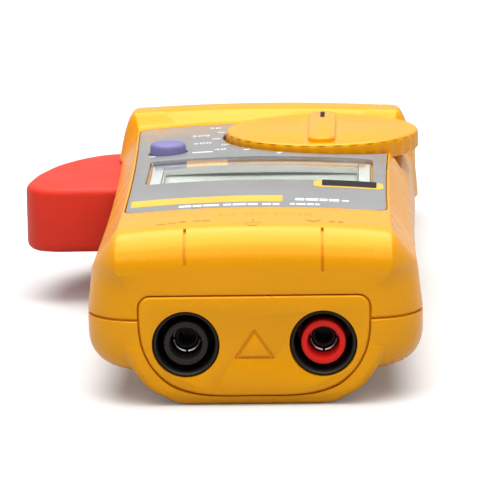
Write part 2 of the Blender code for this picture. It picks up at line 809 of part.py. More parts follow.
def make_button(finishes):
    centre = (BUTTON_X, BUTTON_Y, 0)
    flange = CAVITY_TOP - CROWN - FIT
    foot = flange - BUTTON_FLANGE_THICK
    button = turn('hold_button',
                  [(0, foot), (BUTTON_RADIUS + BUTTON_FLANGE, foot),
                   (BUTTON_RADIUS + BUTTON_FLANGE, flange), (BUTTON_RADIUS, flange),
                   (BUTTON_RADIUS, BUTTON_TOP - 0.5), (BUTTON_RADIUS - 0.5, BUTTON_TOP),
                   (0, BUTTON_TOP + 0.1)],
                  centre, sides=32)
    finish(button, finishes['button'])
    set_origin(button, BUTTON_X, BUTTON_Y, BUTTON_TOP)
    low = BOARD_TOP + FIT
    switch = cylinder('hold_switch', SWITCH_RADIUS, centre, low, foot - BUTTON_TRAVEL - FIT, sides=24)
    finish(switch, finishes['steel'])


# ---------------------------------------------------------------- board and its parts

def make_board(finishes):
    board = box('circuit_board', (-BOARD_HALF, BOARD_HALF), (BOARD_NEAR, BOARD_FAR),
                (BOARD_BOTTOM, BOARD_TOP))
    finish(board, finishes['board'])
    buzzer = cylinder('buzzer', BUZZER_RADIUS, (BUZZER_X, BUZZER_Y, 0), BOARD_TOP + FIT,
                      BOARD_TOP + FIT + BUZZER_HEIGHT, sides=24)
    finish(buzzer, finishes['black'])


# ---------------------------------------------------------------- batteries

def make_batteries(finishes):
    shell = box('battery_tray', (-TRAY_HALF, TRAY_HALF), (TRAY_NEAR, TRAY_FAR),
                (DOOR_THICK + FIT, TRAY_TOP))
    inner = TRAY_HALF - TRAY_WALL
    cut(shell, box('tray_hollow', (-inner, inner), (TRAY_NEAR + TRAY_WALL, TRAY_FAR - TRAY_WALL),
                   (DOOR_THICK - CUT, TRAY_TOP - TRAY_WALL)))
    finish(shell, finishes['black'])
    near = TRAY_NEAR + TRAY_WALL + 1.3
    offset = CELL_RADIUS + CELL_GAP / 2
    for name, side in (('left', -1), ('right', 1)):
        make_cell(name, side, side * offset, near, finishes)
    plates = (('near', TRAY_NEAR + TRAY_WALL + FIT), ('far', TRAY_FAR - TRAY_WALL - FIT - 0.5))
    for name, y in plates:
        plate = box(f'battery_contact_{name}', (-inner + FIT, inner - FIT), (y, y + 0.5),
                    (CELL_Z - 3.5, CELL_Z + 3.5))
        finish(plate, finishes['steel'])


def make_cell(name, side, x, near, finishes):
    """A cell with its raised end cap, the two cells laid head to tail."""
    far = near + CELL_LENGTH
    cap = 0.8
    ends = [(0, near + cap), (CELL_RADIUS - 0.4, near + cap), (CELL_RADIUS, near + cap + 0.4),
            (CELL_RADIUS, far - cap - 0.4), (CELL_RADIUS - 0.4, far - cap),
            (1.9, far - cap), (1.9, far), (0, far)]
    if side > 0:
        ends = [(radius, near + far - y) for radius, y in reversed(ends)]
    cell = turn(f'battery_{name}', ends, (x, 0, CELL_Z), 'Y', 28)
    finish(cell, finishes['black'])


def make_battery_door(finishes):
    door = box('battery_door', (-DOOR_HALF, DOOR_HALF), (DOOR_NEAR, DOOR_FAR), (0, DOOR_THICK))
    cut(door, cylinder('door_counterbore', SCREW_HEAD + FIT, (0, DOOR_SCREW_Y, 0), -CUT, 0.9,
                       sides=24))
    cut(door, cylinder('door_hole', SCREW_RADIUS + FIT, (0, DOOR_SCREW_Y, 0), -CUT,
                       DOOR_THICK + CUT, sides=24))
    finish(door, finishes['case'])
    make_screw('battery_door_screw', 0, DOOR_SCREW_Y, 0.15, 0.6, 5.0, finishes)


# ---------------------------------------------------------------- screws

def make_screw(name, x, y, low, head, length, finishes):
    screw = turn(name, [(0, low), (SCREW_HEAD, low), (SCREW_HEAD, low + head),
                        (SCREW_RADIUS, low + head), (SCREW_RADIUS, low + length),
                        (0, low + length)], (x, y, 0), sides=20)
    cut(screw, box(f'{name}_slot', (x - 1.6, x + 1.6), (y - 0.3, y + 0.3),
                   (low - CUT, low + 0.35)))
    finish(screw, finishes['steel'])


def make_case_screws(finishes):
    low = SCREW_LEDGE - FIT - SCREW_HEAD_THICK
    for i, (x, y) in enumerate(post_places()):
        make_screw(f'case_screw_{i + 1}', x, y, low, SCREW_HEAD_THICK, SCREW_TOP - low, finishes)


# ---------------------------------------------------------------- jaws

def half_ring(side, outer, inner, gap):
    """Half of a ring on one side of the jaws' middle plane, anticlockwise from its tip."""
    top = 90 + degrees(asin(gap / outer))
    inner_top = 90 + degrees(asin(gap / inner))
    points = arc((0, JAW_Y), outer, top, 360 - top, 24)
    points += arc((0, JAW_Y), inner, 360 - inner_top, inner_top, 24)
    if side > 0:
        points = [(-x, y) for x, y in reversed(points)]
    return points


def arm_outline(side):
    """Neck from a half ring down into the case."""
    root = JAW_Y - JAW_OUTER
    shoulder = JAW_Y - 9.0
    ring_side = JAW_OUTER - 1.4
    if side < 0:
        outline = [(-6.0, root + 6.5), (-24.0, shoulder), (-ring_side, shoulder)]
        outline += [(-28.2, root - 6.0), (-26.6, CASE_LENGTH + 4.0)]
        outline += arc((PIVOT_X, PIVOT_Y), LUG_RADIUS, 170, 350, 10)
        return outline + [(-8.0, root - 8.0), (-3.0, root + 1.0)]
    near = CASE_LENGTH - 15.0
    return [(1.5, near), (23.0, near), (26.6, CASE_LENGTH + 4.0), (28.2, root - 6.0),
            (ring_side, shoulder), (24.0, shoulder), (6.0, root + 6.5), (1.5, root + 1.0)]


def jaw_solid(name, side, low, high):
    ring = prism(name, half_ring(side, JAW_OUTER, JAW_INNER, FIT / 2), low, high)
    return ring, prism(f'{name}_arm', arm_outline(side), low, high)


def make_jaw_cover(name, side, low, high, opens_up, finishes):
    """A trough-shaped half of a jaw's housing, open towards its partner."""
    ring, arm = jaw_solid(name, side, low, high)
    join(ring, arm)
    hollow_low = low + JAW_WALL if opens_up else low - CUT
    hollow_high = high + CUT if opens_up else high - JAW_WALL
    hollow = prism(f'{name}_hollow', half_ring(side, JAW_OUTER - JAW_WALL, JAW_INNER + JAW_WALL, 0.0),
                   hollow_low, hollow_high)
    hollow.location.x = -side * 0.4 * MM
    cut(ring, hollow)
    if side < 0:
        cut(ring, cylinder(f'{name}_bore', PIN_RADIUS + FIT, (PIVOT_X, PIVOT_Y, 0), low - CUT,
                           high + CUT, sides=24))
    return finish(ring, finishes['case'])


def make_jaw(name, side, finishes):
    make_jaw_cover(f'{name}_jaw_rear_cover', side, JAW_BOTTOM, JAW_MIDDLE - FIT / 2, True, finishes)
    make_jaw_cover(f'{name}_jaw_front_cover', side, JAW_MIDDLE + FIT / 2, JAW_TOP, False, finishes)
    half = CORE_WIDTH / 2
    core = prism(f'{name}_jaw_core', half_ring(side, CORE_RADIUS + half, CORE_RADIUS - half, FIT / 2),
                 JAW_MIDDLE - half, JAW_MIDDLE + half)
    finish(core, finishes['iron'])
    make_coil(name, side, half, finishes)


def make_coil(name, side, half, finishes):
    """Winding round the middle stretch of a jaw's core."""
    outer = half + FIT + COIL_WALL
    inner = half + FIT
    work = bmesh.new()
    rings = []
    steps = 10
    for i in range(steps + 1):
        angle = radians(90 - side * 90 - 32 + 64 * i / steps)
        rings.append(coil_section(work, angle, outer, inner))
    for ring, following in zip(rings, rings[1:]):
        for k in range(8):
            base = 4 * (k // 4)
            m = base + (k + 1) % 4
            work.faces.new((ring[k], ring[m], following[m], following[k]))
    for ring in (rings[0], rings[-1]):
        for k in range(4):
            m = (k + 1) % 4
            work.faces.new((ring[k], ring[m], ring[4 + m], ring[4 + k]))
    finish(make_object(f'{name}_jaw_coil', work), finishes['copper'])


def coil_section(work, angle, outer, inner):
    section = []
    for size in (outer, inner):
        for across, up in ((-1, -1), (1, -1), (1, 1), (-1, 1)):
            radius = CORE_RADIUS + across * size
            section.append(work.verts.new(place(radius * cos(angle), JAW_Y + radius * sin(angle),
                                                JAW_MIDDLE + up * size)))
    return section


# ---------------------------------------------------------------- trigger, pin and spring

def trigger_outline():
    """Outline of the trigger seen from above, from its inner near corner."""
    out = -HALF_WIDTH - TRIGGER_OUT
    near = TRIGGER_NEAR
    points = [(-25.5, near + 0.6), (out + 6.0, near), (out + 2.2, near + 1.3)]
    points += [(out + 0.4, near + 4.2), (out, near + 8.0), (out + 1.2, near + 17.0)]
    points += [(out + 4.2, near + 27.0), (out + 8.6, near + 34.5), (out + 13.0, near + 39.0)]
    points += [(out + 17.5, near + 40.5), (-25.8, PIVOT_Y + 5.0), (-26.2, PIVOT_Y - 4.0)]
    return list(reversed(points))


def make_trigger(finishes):
    trigger = prism('trigger', trigger_outline(), TRIGGER_BOTTOM, TRIGGER_TOP, 1.6)
    key = box('trigger_key', (-32.0, PIVOT_X - 2.8), (PIVOT_Y - 3.0, PIVOT_Y + 3.0),
              (JAW_TOP + FIT, TRIGGER_TOP - 0.6))
    ring = cylinder('trigger_ring', LUG_RADIUS - 0.4, (PIVOT_X, PIVOT_Y, 0), JAW_TOP + FIT,
                    TRIGGER_TOP - 0.6, sides=32)
    join(trigger, key, ring)
    cut(trigger, cylinder('trigger_bore', SPRING_RADIUS + SPRING_WIRE + RUN, (PIVOT_X, PIVOT_Y, 0),
                          JAW_TOP, TRIGGER_TOP + CUT, sides=32))
    pocket = box('trigger_pocket', (-HALF_WIDTH - TRIGGER_OUT + 9.0, -20.0),
                 (TRIGGER_NEAR + 0.6 + TRIGGER_WALL + 1.6, PIVOT_Y - 8.0),
                 (TRIGGER_BOTTOM + TRIGGER_WALL, TRIGGER_TOP - TRIGGER_WALL))
    cut(trigger, pocket)
    clear = cylinder('trigger_lug_clear', LUG_RADIUS + FIT, (PIVOT_X, PIVOT_Y, 0), JAW_BOTTOM,
                     JAW_TOP + FIT / 2, sides=32)
    cut(trigger, clear)
    finish(trigger, finishes['red'])


def make_pivot(finishes):
    pin = cylinder('pivot_pin', PIN_RADIUS, (PIVOT_X, PIVOT_Y, 0), PIN_FOOT, PIN_TOP,
                   sides=24, bevel=0.3)
    finish(pin, finishes['steel'])
    make_spring(finishes)


def make_spring(finishes):
    """Open-wound torsion spring round the pin."""
    low = JAW_TOP + FIT + SPRING_WIRE
    rise = (TRIGGER_TOP - low - SPRING_WIRE) / SPRING_TURNS
    curve = bpy.data.curves.new('jaw_spring', 'CURVE')
    curve.dimensions = '3D'
    curve.bevel_depth = SPRING_WIRE * MM
    curve.bevel_resolution = 2
    curve.use_fill_caps = True
    points = []
    for i in range(TURN_STEPS * SPRING_TURNS + 1):
        angle = 2 * pi * i / TURN_STEPS
        points.append(place(PIVOT_X + SPRING_RADIUS * cos(angle), PIVOT_Y + SPRING_RADIUS * sin(angle),
                            low + rise * i / TURN_STEPS))
    spline = curve.splines.new('POLY')
    spline.points.add(len(points) - 1)
    for point, position in zip(spline.points, points):
        point.co = (*position, 1.0)
    spring = bpy.data.objects.new('jaw_spring', curve)
    bpy.context.scene.collection.objects.link(spring)
    curve.materials.append(finishes['steel'])


def main():
    clear_scene()
    finishes = make_materials()
    make_front_case(finishes)
    make_rear_case(finishes)
    make_jack_panel(finishes)
    make_jack('common', -1, finishes, 'black')
    make_jack('volts', 1, finishes, 'red')
    make_face_plate(finishes)
    make_display(finishes)
    make_dial(finishes)
    make_button(finishes)
    make_board(finishes)
    make_batteries(finishes)
    make_battery_door(finishes)
    make_case_screws(finishes)
    make_jaw('fixed', 1, finishes)
    make_jaw('moving', -1, finishes)
    make_trigger(finishes)
    make_pivot(finishes)


main()
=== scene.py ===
from math import atan2, cos, hypot, pi, radians, sin

import bmesh
import bpy
from mathutils import Matrix, Vector


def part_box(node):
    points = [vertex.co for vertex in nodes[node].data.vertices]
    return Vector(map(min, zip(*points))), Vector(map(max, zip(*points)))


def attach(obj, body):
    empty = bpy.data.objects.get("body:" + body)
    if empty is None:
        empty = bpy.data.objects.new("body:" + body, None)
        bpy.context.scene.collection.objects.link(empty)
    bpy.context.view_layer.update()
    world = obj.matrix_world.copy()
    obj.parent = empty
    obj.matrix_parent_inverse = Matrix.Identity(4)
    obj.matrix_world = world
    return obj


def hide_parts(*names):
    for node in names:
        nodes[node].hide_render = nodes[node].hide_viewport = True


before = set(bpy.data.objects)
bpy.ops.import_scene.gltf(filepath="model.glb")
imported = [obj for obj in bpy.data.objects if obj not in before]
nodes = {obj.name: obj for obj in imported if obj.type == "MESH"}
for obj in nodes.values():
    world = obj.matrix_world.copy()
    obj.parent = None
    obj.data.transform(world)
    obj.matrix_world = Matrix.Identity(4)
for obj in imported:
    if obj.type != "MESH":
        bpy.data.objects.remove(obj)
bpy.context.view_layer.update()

bpy.ops.object.select_all(action='DESELECT')
mm = 0.001
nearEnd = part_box("front_case")[0].y      # the end with the jacks


def spot(x, y, z):      # millimetres: across, along from the jack end, up from the rest face
    return Vector((x * mm, nearEnd + y * mm, z * mm))


def boxOf(node):      # a piece's two corners, in the same millimetres
    return [(c.x / mm, (c.y - nearEnd) / mm, c.z / mm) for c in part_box(node)]


# Small helpers

def only(item):
    bpy.ops.object.select_all(action='DESELECT')
    item.select_set(True)
    bpy.context.view_layer.objects.active = item


def settle(item, name=None):      # the place goes into the mesh
    only(item)
    bpy.ops.object.transform_apply(location=True, rotation=True, scale=True)
    if name:
        item.name = item.data.name = name
    return item


def editing(item):
    only(item)
    bpy.ops.object.mode_set(mode='EDIT')
    bpy.ops.mesh.select_mode(type='VERT')
    return bmesh.from_edit_mesh(item.data)


def doneEditing(item):
    bpy.ops.mesh.select_all(action='SELECT')
    bpy.ops.mesh.normals_make_consistent(inside=False)
    bpy.ops.object.mode_set(mode='OBJECT')
    return item


def applied(item, kind, **settings):
    only(item)
    step = item.modifiers.new(kind.title(), kind)
    for key, value in settings.items():
        setattr(step, key, value)
    bpy.ops.object.modifier_apply(modifier=step.name)
    return item


def combined(item, operation, others):
    for other in others:
        applied(item, 'BOOLEAN', operation=operation, solver='MANIFOLD', object=other)
        bpy.data.objects.remove(other, do_unlink=True)
    return item


def cutBy(item, *others):
    return combined(item, 'DIFFERENCE', others)


def joinedTo(item, *others):
    return combined(item, 'UNION', others)


def tidied(item, gap=0.02):
    editing(item)
    bpy.ops.mesh.select_all(action='SELECT')
    bpy.ops.mesh.remove_doubles(threshold=gap * mm)
    bpy.ops.mesh.dissolve_degenerate(threshold=gap * mm)
    return doneEditing(item)


def rounded(item, width, segments=2, angle=35):
    return applied(item, 'BEVEL', width=width * mm, segments=segments, limit_method='ANGLE',
                   angle_limit=radians(angle))


def smoothed(item, angle=32):
    only(item)
    bpy.ops.object.shade_smooth_by_angle(angle=radians(angle))
    return item


def copied(item, name, shift):      # a copy with its own mesh, moved by millimetres
    only(item)
    bpy.ops.object.duplicate()
    twin = bpy.context.object
    twin.location = Vector(shift) * mm
    return settle(twin, name)


def coated(item, look):
    item.data.materials.clear()
    item.data.materials.append(look)


def finished(item, body, slotName, look, *stands):
    coated(item, look)
    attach(item, body)
    if stands:
        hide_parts(*stands)
    return item


def asCase(item, node, body="case"):
    return finished(smoothed(item), body, "case_plastic", looks["case"], node)


def merged(items, name):
    only(items[0])
    for item in items:
        item.select_set(True)
    if len(items) > 1:
        bpy.ops.object.join()
    items[0].name = items[0].data.name = name
    return items[0]


def lofted(name, rings):
    bpy.ops.mesh.primitive_circle_add(vertices=len(rings[0]), radius=mm, fill_type='NGON')
    item = bpy.context.object
    item.name = item.data.name = name
    work = editing(item)
    work.verts.ensure_lookup_table()
    ring = list(work.verts)
    for vertex, place in zip(ring, rings[0]):
        vertex.co = place
    bmesh.update_edit_mesh(item.data)
    for places in rings[1:]:
        marks = {v.index: i for i, v in enumerate(ring)}
        bpy.ops.mesh.extrude_region_move()
        work = bmesh.from_edit_mesh(item.data)
        work.verts.ensure_lookup_table()
        fresh = [None] * len(places)
        for vertex in (v for v in work.verts if v.select):
            for partner in (edge.other_vert(vertex) for edge in vertex.link_edges):
                if not partner.select and partner.index in marks:
                    fresh[marks[partner.index]] = vertex
        for vertex, place in zip(fresh, places):
            vertex.co = place
        ring = fresh
        work.verts.index_update()
        bmesh.update_edit_mesh(item.data)
    return doneEditing(item)


def prism(name, outline, low, high):
    return lofted(name, [[spot(a, b, level) for a, b in outline] for level in (low, high)])


def upright(name, outline, near, far):      # an outline across and up, drawn out along the case
    return lofted(name, [[spot(x, y, z) for x, z in outline] for y in (near, far)])


def arcPoints(centre, radius, start, end, steps):
    return [(centre[0] + radius * cos(radians(start + (end - start) * i / steps)),
             centre[1] + radius * sin(radians(start + (end - start) * i / steps)))
            for i in range(steps + 1)]


def roundBox(low, high, corner, steps=6):      # plan outline of a rectangle with round corners
    (x0, y0), (x1, y1) = low, high
    x0, y0, x1, y1 = x0 + corner, y0 + corner, x1 - corner, y1 - corner
    outline = []
    for i, centre in enumerate(((x1, y0), (x1, y1), (x0, y1), (x0, y0))):
        outline += arcPoints(centre, corner, 90 * i - 90, 90 * i, steps)
    return outline


def smoothStep(value, start, end):
    share = min(max((value - start) / (end - start), 0), 1)
    return share * share * (3 - 2 * share)


def turned(name, profile, centre, axis='Z', sides=64):
    bpy.ops.mesh.primitive_circle_add(vertices=len(profile), radius=mm)
    item = bpy.context.object
    item.name = item.data.name = name
    work = editing(item)
    work.verts.ensure_lookup_table()
    middle, up = spot(*centre), Vector((0, 0, 1) if axis == 'Z' else (0, 1, 0))
    for vertex, (radius, height) in zip(work.verts, profile):
        vertex.co = middle + (Vector((radius, 0, 0)) + up * height) * mm
    bmesh.update_edit_mesh(item.data)
    bpy.ops.mesh.select_all(action='SELECT')
    bpy.ops.mesh.spin(steps=sides, angle=2 * pi, center=middle, axis=up, dupli=False,
                      use_auto_merge=True)
    bpy.ops.mesh.select_all(action='SELECT')
    bpy.ops.mesh.remove_doubles(threshold=0.002 * mm)
    return doneEditing(item)


def cylinder(name, radius, centre, low, high, axis='Z', sides=48):
    x, y, z = centre
    if axis == 'Z':
        middle, turn = spot(x, y, (low + high) / 2), (0, 0, 0)
    else:
        middle, turn = spot(x, (low + high) / 2, z), (pi / 2, 0, 0)
    bpy.ops.mesh.primitive_cylinder_add(vertices=sides, radius=radius * mm, depth=(high - low) * mm,
                                        location=middle, rotation=turn)
    return settle(bpy.context.object, name)


def block(name, xs, ys, zs):
    middle = spot(sum(xs) / 2, sum(ys) / 2, sum(zs) / 2)
    size = ((xs[1] - xs[0]) * mm, (ys[1] - ys[0]) * mm, (zs[1] - zs[0]) * mm)
    bpy.ops.mesh.primitive_cube_add(size=1, location=middle, scale=size)
    return settle(bpy.context.object, name)


# Finishes

def newLook(name):
    look = bpy.data.materials.new(name)
    look.use_nodes = True
    tree = look.node_tree
    shader = tree.nodes["Principled BSDF"]
    place = tree.nodes.new("ShaderNodeTexCoord")
    return look, tree, shader, place.outputs["Object"]


def fed(tree, node, sockets):      # each socket gets a value, or the output that drives it
    for key, value in sockets.items():
        if isinstance(value, bpy.types.NodeSocket):
            tree.links.new(value, node.inputs[key])
        else:
            node.inputs[key].default_value = value
    return node


def added(tree, kind, sockets):
    return fed(tree, tree.nodes.new("ShaderNode" + kind), sockets)


def noiseAt(tree, place, size, detail=3.0, stretch=(1, 1, 1)):
    mapping = added(tree, "Mapping", {"Scale": stretch, "Vector": place})
    noise = added(tree, "TexNoise", {"Scale": 1 / (size * mm), "Detail": detail, "Roughness": 0.55,
                                     "Vector": mapping.outputs["Vector"]})
    return noise.outputs["Fac"]


def ranged(tree, value, low, high):
    step = added(tree, "MapRange", {"From Min": 0.3, "From Max": 0.7, "To Min": low, "To Max": high,
                                    "Value": value})
    return step.outputs["Result"]


def mixedColour(tree, share, first, second):
    ramp = added(tree, "ValToRGB", {"Fac": share})
    for stop, position, colour in zip(ramp.color_ramp.elements, (0.3, 0.7), (first, second)):
        stop.position = position
        stop.color = (*colour, 1)
    return ramp.outputs["Color"]


def bumped(tree, shader, height, depth):
    bump = added(tree, "Bump", {"Distance": depth * mm, "Strength": 1.0, "Height": height})
    fed(tree, shader, {"Normal": bump.outputs["Normal"]})


def moulded(name, colour, rough=(0.34, 0.46), grain=0.35, depth=0.012, shift=0.05, specular=0.5,
            tint=(1, 1, 1)):
    look, tree, shader, place = newLook(name)
    darker = tuple(c * (1 - shift) for c in colour)
    lighter = tuple(min(c * (1 + shift), 1) for c in colour)
    flow = noiseAt(tree, place, 14, 2.0)
    handling = noiseAt(tree, place, 9, 1.0)
    fed(tree, shader, {"Base Color": mixedColour(tree, flow, darker, lighter),
                       "Roughness": ranged(tree, handling, *rough),
                       "Specular IOR Level": specular, "Specular Tint": (*tint, 1)})
    bumped(tree, shader, noiseAt(tree, place, grain, 2.0), depth)
    return look


def metalLook(name, colour, rough=(0.22, 0.36), size=0.6, depth=0.004, stretch=(1, 1, 1)):
    look, tree, shader, place = newLook(name)
    darker = tuple(c * 0.82 for c in colour)
    tone = noiseAt(tree, place, size * 4, 3.0, stretch)
    marks = noiseAt(tree, place, size, 4.0, stretch)
    fed(tree, shader, {"Base Color": mixedColour(tree, tone, darker, colour), "Metallic": 1.0,
                       "Roughness": ranged(tree, marks, *rough)})
    bumped(tree, shader, marks, depth)
    return look


def woundLook(name, dark, bright, pitch, direction):
    look, tree, shader, place = newLook(name)
    wave = added(tree, "TexWave", {"Scale": 1 / (pitch * mm) / pi, "Distortion": 0.4,
                                   "Vector": place})
    wave.bands_direction = direction
    turns = wave.outputs["Fac"]
    fed(tree, shader, {"Base Color": mixedColour(tree, turns, dark, bright), "Metallic": 0.85,
                       "Roughness": ranged(tree, noiseAt(tree, place, 1.0), 0.3, 0.5)})
    bumped(tree, shader, turns, 0.08)
    return look


def mathOf(tree, operation, first, second):
    step = added(tree, "Math", {0: first, 1: second})
    step.operation = operation
    return step.outputs[0]


def clearLook(name):      # a thin clear skin: light passes straight, the front face shines
    look, tree, shader, place = newLook(name)
    fed(tree, shader, {"Base Color": (0.95, 0.96, 0.95, 1), "Metallic": 1.0,
                       "Roughness": ranged(tree, noiseAt(tree, place, 6.0), 0.05, 0.12)})
    shine = added(tree, "Fresnel", {"IOR": 1.45})
    side = added(tree, "NewGeometry", {})
    front = mathOf(tree, 'SUBTRACT', 1.0, side.outputs["Backfacing"])
    share = mathOf(tree, 'MULTIPLY', shine.outputs[0], front)
    through = added(tree, "BsdfTransparent", {"Color": (0.97, 0.98, 0.97, 1)})
    both = added(tree, "MixShader", {0: share, 1: through.outputs[0], 2: shader.outputs[0]})
    fed(tree, tree.nodes["Material Output"], {"Surface": both.outputs[0]})
    return look


finishes = {
    "case": {"colour": (0.80, 0.32, 0.001), "rough": (0.25, 0.32), "grain": 0.8, "depth": 0.0006,
             "tint": (1, 0.93, 0.35), "shift": 0.02},
    "red": {"colour": (0.66, 0.032, 0.016), "rough": (0.42, 0.54), "grain": 0.3, "depth": 0.010,
            "specular": 0.3, "tint": (1, 0.7, 0.6)},
    "jackRed": {"colour": (0.68, 0.016, 0.012), "rough": (0.3, 0.4), "grain": 0.4, "depth": 0.004,
                "specular": 0.3, "tint": (1, 0.6, 0.5)},
    "black": {"colour": (0.016, 0.014, 0.012), "rough": (0.36, 0.5), "grain": 0.3, "depth": 0.010,
              "specular": 0.25},
    "inner": {"colour": (0.035, 0.035, 0.037), "rough": (0.5, 0.62), "grain": 0.3, "depth": 0.012},
    "face": {"colour": (0.22, 0.224, 0.224), "rough": (0.3, 0.42), "grain": 0.22, "depth": 0.006},
    "button": {"colour": (0.16, 0.15, 0.34), "rough": (0.5, 0.62), "grain": 0.2, "depth": 0.010},
}
looks = {key: moulded(key + "Plastic", **value) for key, value in finishes.items()}
for key, colour, rough, specular in (("printYellow", (0.74, 0.43, 0.03), (0.34, 0.44), 0.5),
                                     ("printWhite", (0.72, 0.73, 0.72), (0.4, 0.5), 0.5),
                                     # black ink for the dial pointer, also used for the painted shade
                                     # patch by the display
                                     ("inkBlackAndShade", (0.018, 0.018, 0.02), (0.5, 0.6), 0.05),
                                     ("printBrown", (0.38, 0.20, 0.01), (0.42, 0.52), 0.5),
                                     ("printOlive", (0.42, 0.30, 0.02), (0.42, 0.52), 0.5)):
    looks[key] = moulded(key, colour, rough, 0.2, 0.003, specular=specular)
# dark finish for the jack liner: painted shade deep inside the sockets
looks["core"] = moulded("jackPaintedShade", (0.075, 0.068, 0.058), (0.3, 0.42), 0.3, 0.004)
looks["frame"] = moulded("displayFrame", (0.60, 0.61, 0.59), (0.4, 0.5), 0.3, 0.004)
looks["lcd"] = moulded("lcdGlass", (0.58, 0.61, 0.56), (0.22, 0.3), 0.5, 0.0004, 0.03)
looks["board"] = moulded("boardGreen", (0.015, 0.14, 0.05), (0.32, 0.5), 1.2, 0.02, 0.2)
looks["rubber"] = moulded("stripRubber", (0.09, 0.09, 0.1), (0.7, 0.85), 0.5, 0.02, 0.15)
looks["sleeve"] = moulded("cellSleeve", (0.025, 0.03, 0.04), (0.28, 0.38), 3.0, 0.01, 0.2)
looks["steel"] = metalLook("screwSteel", (0.60, 0.60, 0.62))
looks["nickel"] = metalLook("contactNickel", (0.34, 0.33, 0.32), (0.2, 0.34))
looks["brass"] = metalLook("strapBrass", (0.78, 0.57, 0.26), (0.24, 0.4), 0.8, 0.005, (1, 1, 4))
looks["copper"] = woundLook("windingCopper", (0.18, 0.05, 0.02), (0.75, 0.32, 0.13), 0.28, 'Y')
looks["iron"] = woundLook("laminatedIron", (0.10, 0.10, 0.11), (0.34, 0.34, 0.36), 0.35, 'Z')
looks["clear"] = clearLook("windowClear")
print("finishes ready")

# The case's shape

case = {
    "length": 125.0, "half": 29.3, "waist": 0.8, "top": 31.0, "shoulder": 7.0, "crown": 1.1,
    "parting": 15.2, "wall": 2.0, "slope": 5.6, "widening": 0.3, "skirt": 5.5, "gap": 0.3,
    "guardNear": 112.8, "guardRise": 2.4, "guardOut": 0.6, "lean": 1.1, "edge": 0.22,
}
facet = {"low": 19.5, "high": 24.5, "start": 19.8, "spread": 4.0, "depth": 9.5, "shallower": 1.2,
         "foot": 23.5, "tip": 30.3, "flat": 0.6}


def shareAlong(y):
    return min(max(y, 0), case["length"]) / case["length"]


def halfAt(y, inset):
    waist = case["waist"] * sin(pi * shareAlong(y))
    return case["half"] - waist - inset * (1 - case["widening"] * shareAlong(y))


def crownDrop(x, z):
    rise = min(max((z - case["parting"]) / (case["top"] - case["parting"]), 0), 1)
    across = x / (case["half"] - case["slope"])
    return case["crown"] * across * across * rise * rise


def topAt(x):      # height of the top face
    return case["top"] - crownDrop(x, case["top"])


def stations(start, end):      # places along a side, closer where the guard rises
    count, ramp = 31, case["guardNear"] - 2.8
    rows = [start + (ramp - start) * i / count for i in range(1, count + 1)]
    rows += [ramp + step for step in (1.6, 2.4, 2.8, 3.4, 4.0, 4.6, 5.2, 5.8, 6.4, 7.0, 7.6, 8.4)]
    return [min(y, end - 0.04 * (len(rows) - i)) for i, y in enumerate(rows)]


def closedPlan(side, reach, nearHalf, near, farRadius, far, inset):      # mirrored, then waisted
    steps, endHalf = 12, reach - farRadius
    farRow = [(endHalf - 2 * endHalf * i / steps, far) for i in range(1, steps)]
    nearRow = [(-nearHalf + 2 * nearHalf * i / steps, near) for i in range(1, steps)]
    whole = side + farRow + [(-x, y) for x, y in reversed(side)] + nearRow
    return [(x * halfAt(y, inset) / reach, y) for x, y in whole]


def farSide(reach, start, far, radius):
    side = [(reach, y) for y in stations(start, far - radius)]
    return side + arcPoints((reach - radius, far - radius), radius, 0, 90, 7)


def plan(near, far, inset, nearRadius, farRadius):
    reach = case["half"] - inset
    nearRadius, farRadius = min(nearRadius, reach), min(farRadius, reach)
    nearHalf = reach - nearRadius
    side = arcPoints((nearHalf, near + nearRadius), nearRadius, -90, 0, 9)
    side += farSide(reach, near + nearRadius, far, farRadius)
    return closedPlan(side, reach, nearHalf, near, farRadius, far, inset)


def facetPlan(z, near, far, inset, farCorner):      # the near corners are cut as broad facets
    reach = case["half"] - inset
    climb = smoothStep(z, facet["low"], facet["high"])
    tip = min(max((z - facet["foot"]) / (facet["tip"] - facet["foot"]), 0), 1)
    depth = max((facet["depth"] - facet["shallower"] * climb) * (1 - tip) ** 0.75, 0.9)
    start = min(facet["start"] + facet["spread"] * climb, reach - 0.9)
    flat = facet["flat"] * climb
    side = []
    for i in range(10):
        turn, share = pi / 2 * i / 9, i / 9
        across = flat * share + (1 - flat) * sin(turn)
        along = flat * share + (1 - flat) * (1 - cos(turn))
        side.append((start + (reach - start) * across, near + depth * along))
    farRadius = min(max(farCorner, 0.6), reach)
    side += farSide(reach, near + depth, far, farRadius)
    return closedPlan(side, reach, start, near, farRadius, far, inset)


def guardShare(y):
    rise = smoothStep(y, case["guardNear"], case["guardNear"] + 4)
    return rise * (1 - 0.75 * smoothStep(y, case["length"] - 2.6, case["length"] + 0.2))


def shellRing(z, endInset, sideInset, turnedBy, farInset=0.0):
    places = []
    onTop = turnedBy > 1.55
    level = case["top"] if onTop else z
    for x, y in facetPlan(level, endInset, case["length"] - farInset, sideInset, 5.0 - farInset):
        swell = guardShare(y)
        side = 1 if x > 0 else -1
        out = (case["guardOut"] + 0.9 * sin(2 * turnedBy)) * swell * side
        lift = case["guardRise"] * swell * sin(turnedBy) ** 2
        if farInset or onTop:
            out *= smoothStep(abs(x), 10, 22)
        places.append(spot(x + out, y, z - crownDrop(x, z) * (1 - 0.35 * swell) + lift))
    return places


def shoulderRow(angle):      # height, end inset and side inset round the shoulder
    return (case["top"] - case["shoulder"] * (1 - sin(angle)), case["shoulder"] * (1 - cos(angle)),
            case["lean"] + (case["slope"] - case["lean"]) * sin(angle))


